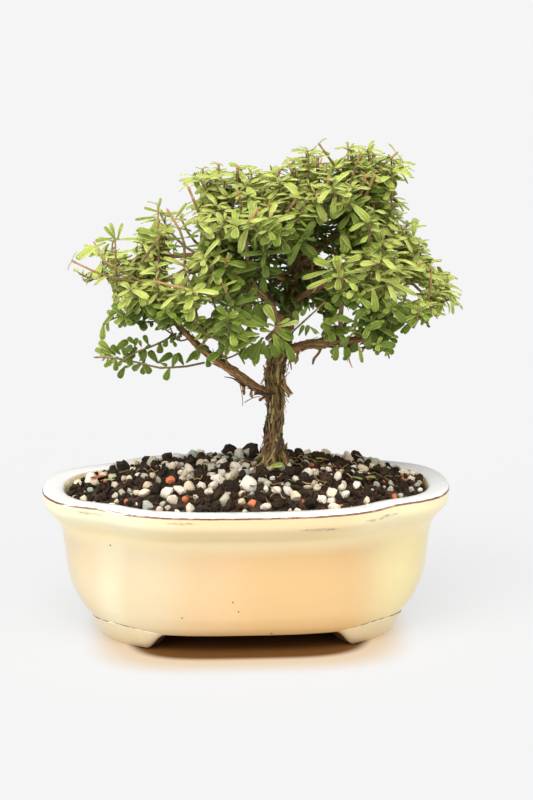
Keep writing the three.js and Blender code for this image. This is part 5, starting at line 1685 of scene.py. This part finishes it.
# leaves of the two sprays at the lower left, which stand against the background: x and z of
# the base and of the tip, breadth and youth
SPRAY_LEAVES = [
    (-39, 127, -43, 132, 1.3, 0.1), (-39, 127, -33, 131, 1.2, 0.1), (-33, 125, -31, 131, 1.25, 0.2),
    (-34, 125, -36, 119, 1.3, 0.25), (-28, 126, -31, 131, 1.2, 0.1), (-27, 127, -22, 132, 1.15, 0.1),
    (-38, 127, -35, 126, 1.4, 0.3), (-45, 127, -46, 133, 1.7, 0.15), (-46, 127, -50, 124, 1.5, 0.12),
    (-46, 127, -42, 123, 1.5, 0.12), (-53, 126, -56, 120, 1.1, 0.1), (-49, 127, -53, 125, 0.8, 0.8),
    (-52, 130, -48, 134, 1.0, 0.15), (-49, 134, -48, 138, 1.3, 0.2), (-46, 134, -47, 137, 1.3, 0.3),
    (-45, 133, -42, 135, 1.4, 0.1), (-53, 130, -54, 134, 1.4, 0.2), (-59, 132, -64, 137, 1.25, 0.55),
    (-58, 132, -52, 137, 1.2, 0.12), (-60, 131, -66, 133, 1.1, 0.5), (-57, 129, -57, 124, 1.3, 0.12),
    (-59, 129, -60, 126, 1.4, 0.6), (-54, 129, -56, 126, 1.4, 0.3), (-61, 130, -63, 128, 0.8, 1.0),
    (-60, 130, -61, 127, 1.0, 1.0), (-57, 130, -59, 132, 0.9, 0.95), (-61, 130, -64, 131, 0.7, 1.0),
    (-38, 136, -38, 131, 1.6, 0.1), (-35, 138, -36, 134, 1.6, 0.15), (-33, 137, -31, 134, 1.3, 0.2),
    (-56, 129, -52, 128, 1.3, 0.2), (-50, 130, -51, 127, 1.3, 0.1), (-21, 135, -17, 133, 1.3, 0.1),
    (-18, 129, -17, 125, 1.7, 0.1), (-52, 128, -49, 131, 1.4, 0.1), (-58, 128, -62, 126, 1.2, 0.25),
    (-57, 131, -63, 134, 1.3, 0.3), (-55, 131, -59, 135, 1.3, 0.15), (-54, 131, -50, 135, 1.3, 0.12),
    (-56, 130, -60, 127, 1.2, 0.5), (-54, 130, -50, 127, 1.4, 0.1), (-47, 128, -44, 131, 1.3, 0.1),
    (-44, 127, -46, 122, 1.3, 0.12), (-58, 130, -62, 131, 1.0, 0.8), (-50, 129, -54, 132, 1.3, 0.1),
    (-48, 135, -52, 138, 1.2, 0.2), (-43, 135, -45, 139, 1.3, 0.15)]
# depths of the planes that they stand on
ROSETTE_DEPTH, SPRAY_PLANE = -38, -27
LEAF_ARCH = 0.28
TOWARDS_LIGHT = Vector((0, -0.5, 1))
YOUNG = 0.65
# small leaves at the end of a marked twig: pairs, length, breadth, youth and first place
END_LEAVES, MOST_END_LEAVES = (2, 4.5, 0.75, 0.8, 0.72), 6


def mark_leaf(base, tip, broad, age, light=TO_FRONT, deeper=0.0, tone=None):
    """A leaf from base to tip with its face to the light. Its tip is moved deeper by a share"""
    chord = Vector(tip) - Vector(base)
    chord.y += deeper * chord.length
    face = (light - chord * light.dot(chord) / chord.length_squared).normalized()
    reach = (chord.normalized() + face * LEAF_ARCH).normalized()
    face = (face - reach * face.dot(reach)).normalized()
    size = chord.length / math.hypot(1, LEAF_ARCH)
    row = (tuple(base), turned(reach, face), (size * broad, size, size), FLAT[0], age)
    leaf_rows[tone or ("light" if age > YOUNG else "mid")].append(row)


def in_front(x, z):
    """The place at the rosettes' depth that the camera sees at x and z"""
    return EYE.lerp(Vector((x, SEEN_PLANE, z)), (ROSETTE_DEPTH - EYE.y) / (SEEN_PLANE - EYE.y))


for points, foot, end in MARKED_TWIGS:
    way = Way(points)
    twigs.append((way, (foot, end)))
    leaf_rows["light"] += grow_leaves(way, *END_LEAVES)[:MOST_END_LEAVES]
for base, tip, broad, age in MARKED_LEAVES:
    mark_leaf(base, tip, broad, age, TOWARDS_LIGHT)
for x, z, tip_x, tip_z, broad, age in ROSETTE_LEAVES:
    mark_leaf(in_front(x, z), in_front(tip_x, tip_z), broad, age, deeper=draw.uniform(-0.3, 0.1))
for x, z, tip_x, tip_z, broad, age in SPRAY_LEAVES:
    mark_leaf((x, SPRAY_PLANE, z), (tip_x, SPRAY_PLANE, tip_z), broad, age,
              deeper=draw.uniform(-0.35, 0.35), tone="dark")

# %% [markdown]
# ## Twigs
# A twig is a line with a girth. Geometry Nodes turns edges into curves and sweeps a circle
# along them, reading the girth from an attribute, with a swelling at each pair of leaves.
# The tip is new growth, orange-red, and often a pruned end stands out past the last leaves.

# %% The tree that sweeps rods
def sweep_tree():
    tree, given, out = new_tree("sweep rods", "GeometryNodeTree",
                                {"Lines": "geometry", "Sides": "int", "Finish": "material"},
                                {"Geometry": "geometry"})
    curves = node(tree, "GeometryNodeMeshToCurve", {"Mesh": given["Lines"]})
    section = node(tree, "GeometryNodeCurvePrimitiveCircle", {"Resolution": given["Sides"], "Radius": MM})
    swept = node(tree, "GeometryNodeCurveToMesh",
                 {"Curve": curves.outputs[0], "Profile Curve": section.outputs[0],
                  "Scale": stored(tree, "girth"), "Fill Caps": True})
    return realised(tree, swept.outputs[0], given["Finish"], out)


SWEEP = sweep_tree()


def sweep(name, lines, sides, material):
    """A piece of rods. Each line is a list of (point, girth, age)"""
    points, edges = [], []
    for line in lines:
        edges += [(len(points) + i, len(points) + i + 1) for i in range(len(line) - 1)]
        points += line
    piece = new_mesh(name, [tuple(p) for p, _, _ in points], [], edges,
                     girth=[g for _, g, _ in points], age=[a for _, _, a in points])
    run_tree(into_scene(piece), SWEEP, Sides=sides, Finish=material)
    piece.data.shade_smooth()
    return piece


# %% Twigs and their tips
SPURRED, SPUR, STUMP = 0.12, (1.5, 3.5), 0.6
# the four places where leaves grow, and how much a twig swells there
NODES = [between(0.34, 0.98, pair / 3) for pair in range(4)]
SWELLING, SWELLING_REACH = 0.35, 0.015
RIPE, UNRIPE = 1.0, 0.6


def twig_line(twig, girth, spur, ripe):
    """Points along a twig with swellings at its nodes, and a spur past its end. Only the tip
    of a ripe one takes colour"""
    last = RIPE if ripe else UNRIPE
    spots = {0.0, 0.12, 0.22, 1.0, *(n + d for n in NODES for d in (-0.03, 0, 0.02))}
    line = []
    for u in sorted(u for u in spots if u <= 1):
        swell = 1 + SWELLING * max(math.exp(-((u - n) / SWELLING_REACH) ** 2) for n in NODES)
        line.append((twig.at(u), between(*girth, u) * swell, u * (last - 0.15)))
    end, ahead = twig.at(1), twig.ahead(1)
    bend = Vector((draw.gauss(0, 0.12), draw.gauss(0, 0.12), 0.1))
    for part in (0.5, 1):
        line.append((end + (ahead + bend * part) * spur * part, girth[1] * between(0.9, 0.75, part),
                     last - 0.1 * (1 - part)))
    line.append((end + (ahead + bend) * (spur + 0.15), girth[1] * 0.3, last))
    return line


def twig_skin(look):
    age, spots = look.read("age"), look.mottle(2.2)
    look.base = colour(128, 108, 60)
    look.over(spots.broad, 156, 130, 82)
    look.over(age.step(0.5, 0.75), 206, 158, 104)
    look.over(age.step(0.86, 0.97), 216, 134, 98)
    look.over(spots.fine * 0.35, 70, 50, 30)
    return 0.65, [(spots.height, 0.12)]


lines = []
for number, (twig, girth) in enumerate(twigs):
    marked, spurred = number >= len(twigs) - len(MARKED_TWIGS), draw.random() < SPURRED
    spur = draw.uniform(*SPUR) if spurred and not marked else STUMP
    lines.append(twig_line(twig, girth, spur, marked or spurred))
twig_piece = sweep("twigs", lines, 6, finish("twig_skin", twig_skin))
dress(twig_piece)

# %% [markdown]
# ## Leaves
# A leaf is a thin arched blade: narrow at its stalk, widest past the middle, round at the
# tip, with a groove along the midrib and edges rolled slightly down. Thousands are needed, so
# each shape has only a few dozen faces, and seven shapes with other bends and twists are
# enough, as size and breadth vary as well. The blade is closed, with an under side of its own.

# %% Leaf shapes
LEAF_HALF_WIDTH = 0.2
# place along the blade, and the width there as a share of the widest
LEAF_OUTLINE = [(0.0, 0.2), (0.24, 0.5), (0.54, 0.9), (0.78, 1.0), (0.95, 0.68)]
# how much each shape droops, sways, twists and folds. The last two are nearly flat
LEAF_BENDS = [(0.5, 0.03, 0.25, 0.25), (0.7, -0.06, -0.3, 0.35), (0.36, 0.05, 0.15, 0.2),
              (0.6, 0.0, -0.15, 0.45), (0.85, 0.06, 0.35, 0.3), (0.28, 0.02, 0.2, 0.25),
              (0.16, -0.04, -0.15, 0.3)]
CROWNED, THICKNESS = 0.12, 0.035


def leaf_shape(name, droop, sway, twist, fold):
    """A unit blade along Y, its face up along Z: edge, crown, crown, edge and keel in each row"""
    vertices, along, across = [], [], []
    for u, share in LEAF_OUTLINE:
        half_width, turn = LEAF_HALF_WIDTH * share, twist * (u - 0.3)
        edge_drop, crown = -fold * half_width, CROWNED * half_width
        section = [(-1, edge_drop), (-0.45, crown), (0.45, crown), (1, edge_drop), (0, crown - THICKNESS)]
        for side, rise in section:
            x = side * half_width
            vertices.append((x * math.cos(turn) - rise * math.sin(turn) + sway * u * u, u,
                             x * math.sin(turn) + rise * math.cos(turn) - droop * u * u))
            along.append(u)
            across.append(side)
    around = len(section)
    last, tip = len(vertices) - around, len(vertices)
    vertices.append((sway, 1.0, -droop - 0.01))
    faces = [*map(tuple, skin(len(LEAF_OUTLINE), around)), tuple(range(around))[::-1]]
    faces += [(last + i, last + (i + 1) % around, tip) for i in range(around)]
    across.append(0.0)
    shape = new_mesh(name, np.array(vertices) / MM, faces, along=[*along, 1.0], across=across)
    under = [1.0 if face.normal.z < 0 else 0.0 for face in shape.data.polygons]
    store(shape.data, "under", np.array(under, np.float32), "FLOAT", "FACE")
    sharp = [across[a] * across[b] == 1 and a % around == b % around
             for a, b in (edge.vertices for edge in shape.data.edges)]
    layers = shape.data.attributes
    layer = layers.get("sharp_edge") or layers.new("sharp_edge", "BOOLEAN", "EDGE")
    layer.data.foreach_set("value", sharp)
    return shape


leaf_shapes = shape_set("leaf shapes", [leaf_shape(f"leaf_{number}", *bends)
                                        for number, bends in enumerate(LEAF_BENDS)])


# %% [markdown]
# ## Leaf finish
# One recipe serves all leaves. The attribute "tone" is a leaf's youth, with the crown's shade and light
# painted into it: an old or shaded leaf is deep green, a young or lit one yellow-green, and broad patches of
# the crown lean a little to brown or to blue-green. The rib is paler, and so is the rolled edge, partly the
# leaf's own pale margin and partly painted light shining through it. The under side is dull and pale, and
# fine veins run forwards from the rib.

# %% Leaf finish
VEIN_LEAN, VEINS = -0.32, 62.0


def leaf_skin(look):
    age, along, across, under = (look.read(name) for name in ("tone", "along", "across", "under"))
    side, spots, hue = across.maths("ABSOLUTE"), look.mottle(3.0), look.mottle(0.16).broad
    look.base = colour(74, 96, 20)
    look.over(age.step(0.0, 0.3), 104, 134, 34)
    look.over(age.step(0.25, 0.65), 168, 186, 72)
    look.over(age.step(0.6, 1.3), 204, 218, 106)
    look.over(spots.broad * 0.25, 72, 92, 30)
    look.over(hue.step(0.55, 0.8, 0.0, 0.4), 150, 116, 44)
    look.over(hue.step(0.45, 0.2, 0.0, 0.4), 56, 116, 44)
    pale = mix(age.step(0.0, 0.3), colour(96, 116, 48), colour(156, 174, 84))
    pale = mix(age.step(0.3, 0.75), pale, colour(208, 214, 134))
    # the rib is paler; the edge is paler, partly its own margin and partly painted light shining through it
    rib, margin_and_glow = side.step(0.16, 0.04, 0.0, 0.4), side.step(0.55, 0.85, 0.0, 0.85)
    for mask in (rib, margin_and_glow, along.step(0.25, 0.0, 0.0, 0.5)):
        look.over(mask, pale)
    dull = mix(age.step(0.2, 0.8), colour(116, 130, 70), colour(206, 212, 120))
    look.over(under * 0.7, dull)
    veins = ((side * VEIN_LEAN + along) * VEINS).maths("SINE")
    rough = spots.fine.step(0.0, 1.0, 0.34, 0.5)
    return rough, [(side.step(0.0, 0.3), 0.12), (veins, 0.04), (spots.height, 0.1)]


for tone, nodes in TONES.items():
    material = finish(f"leaf_{tone}", leaf_skin, Subsurface_Weight=0.35, IOR=1.45, Specular_IOR_Level=0.22,
                      Subsurface_Radius=(0.6, 1.0, 0.2), Subsurface_Scale=0.9 * MM)
    piece = scatter(f"leaves_{tone}", leaf_rows[tone], leaf_shapes, material)
    dress(piece, nodes)

# %% [markdown]
# ## Fallen leaves and rootlets
# Old leaves drop on the soil, and fine roots and strands of moss lie between its grains.
# The leaves are the same shapes laid flat, and a rootlet is a short line that wanders over
# the bed, thickened like a twig.

# %% Fallen leaves and rootlets
# place, heading, length and youth
FALLEN = [((9, -13), -1.1, 8, 0.6), ((-66, -7), -1.5, 6.5, 0.55), ((52, -18), -0.9, 6.5, 0.4),
          ((45, -20), -1.9, 6, 0.3), ((0, -30), -0.5, 5, 0.15), ((3, -31), 0.4, 5, 0.15),
          ((17, -26), -1.2, 4.5, 0.3), ((36, 2), 0.8, 5, 0.5), ((-30, 22), 1.4, 4, 0.7)]
ROOTLETS, ROOTLET_POINTS = 90, 6
draw = random.Random(23)
fallen = []
for (x, y), heading, length, tone in FALLEN:
    place = (x, y, float(soil_top(x, y)) + 3.8)
    turn = (draw.uniform(-0.3, 0.3), draw.uniform(-0.3, 0.3), heading)
    fallen.append((place, turn, (1.3 * length, length, length), FLAT[1] - 1, tone))
dress(scatter("fallen_leaves", fallen, leaf_shapes, finish("leaf_fallen", leaf_skin)))


def rootlet():
    """A thin line over the soil, from a random place near the trunk"""
    x, y = draw.gauss(TRUNK_FOOT[0], 30), draw.gauss(-8, 18)
    heading, stride = draw.uniform(0, 2 * math.pi), draw.uniform(0.8, 2.4)
    girth, age = draw.uniform(0.14, 0.26), draw.uniform(0.2, 0.8)
    line = []
    for _ in range(ROOTLET_POINTS):
        line.append((Vector((x, y, float(soil_top(x, y)) + draw.uniform(1.6, 3.2))), girth, age))
        heading += draw.gauss(0, 0.45)
        x, y = x + stride * math.cos(heading), y + stride * math.sin(heading)
    return line


lines = [rootlet() for _ in range(ROOTLETS)]
lines = [line for line in lines if max(outwards(point.x, point.y) for point, _, _ in line) < 0.9]
dress(sweep("rootlets", lines, 4, finish("rootlet", twig_skin)))
print("fallen leaves:", len(fallen), "rootlets:", len(lines))
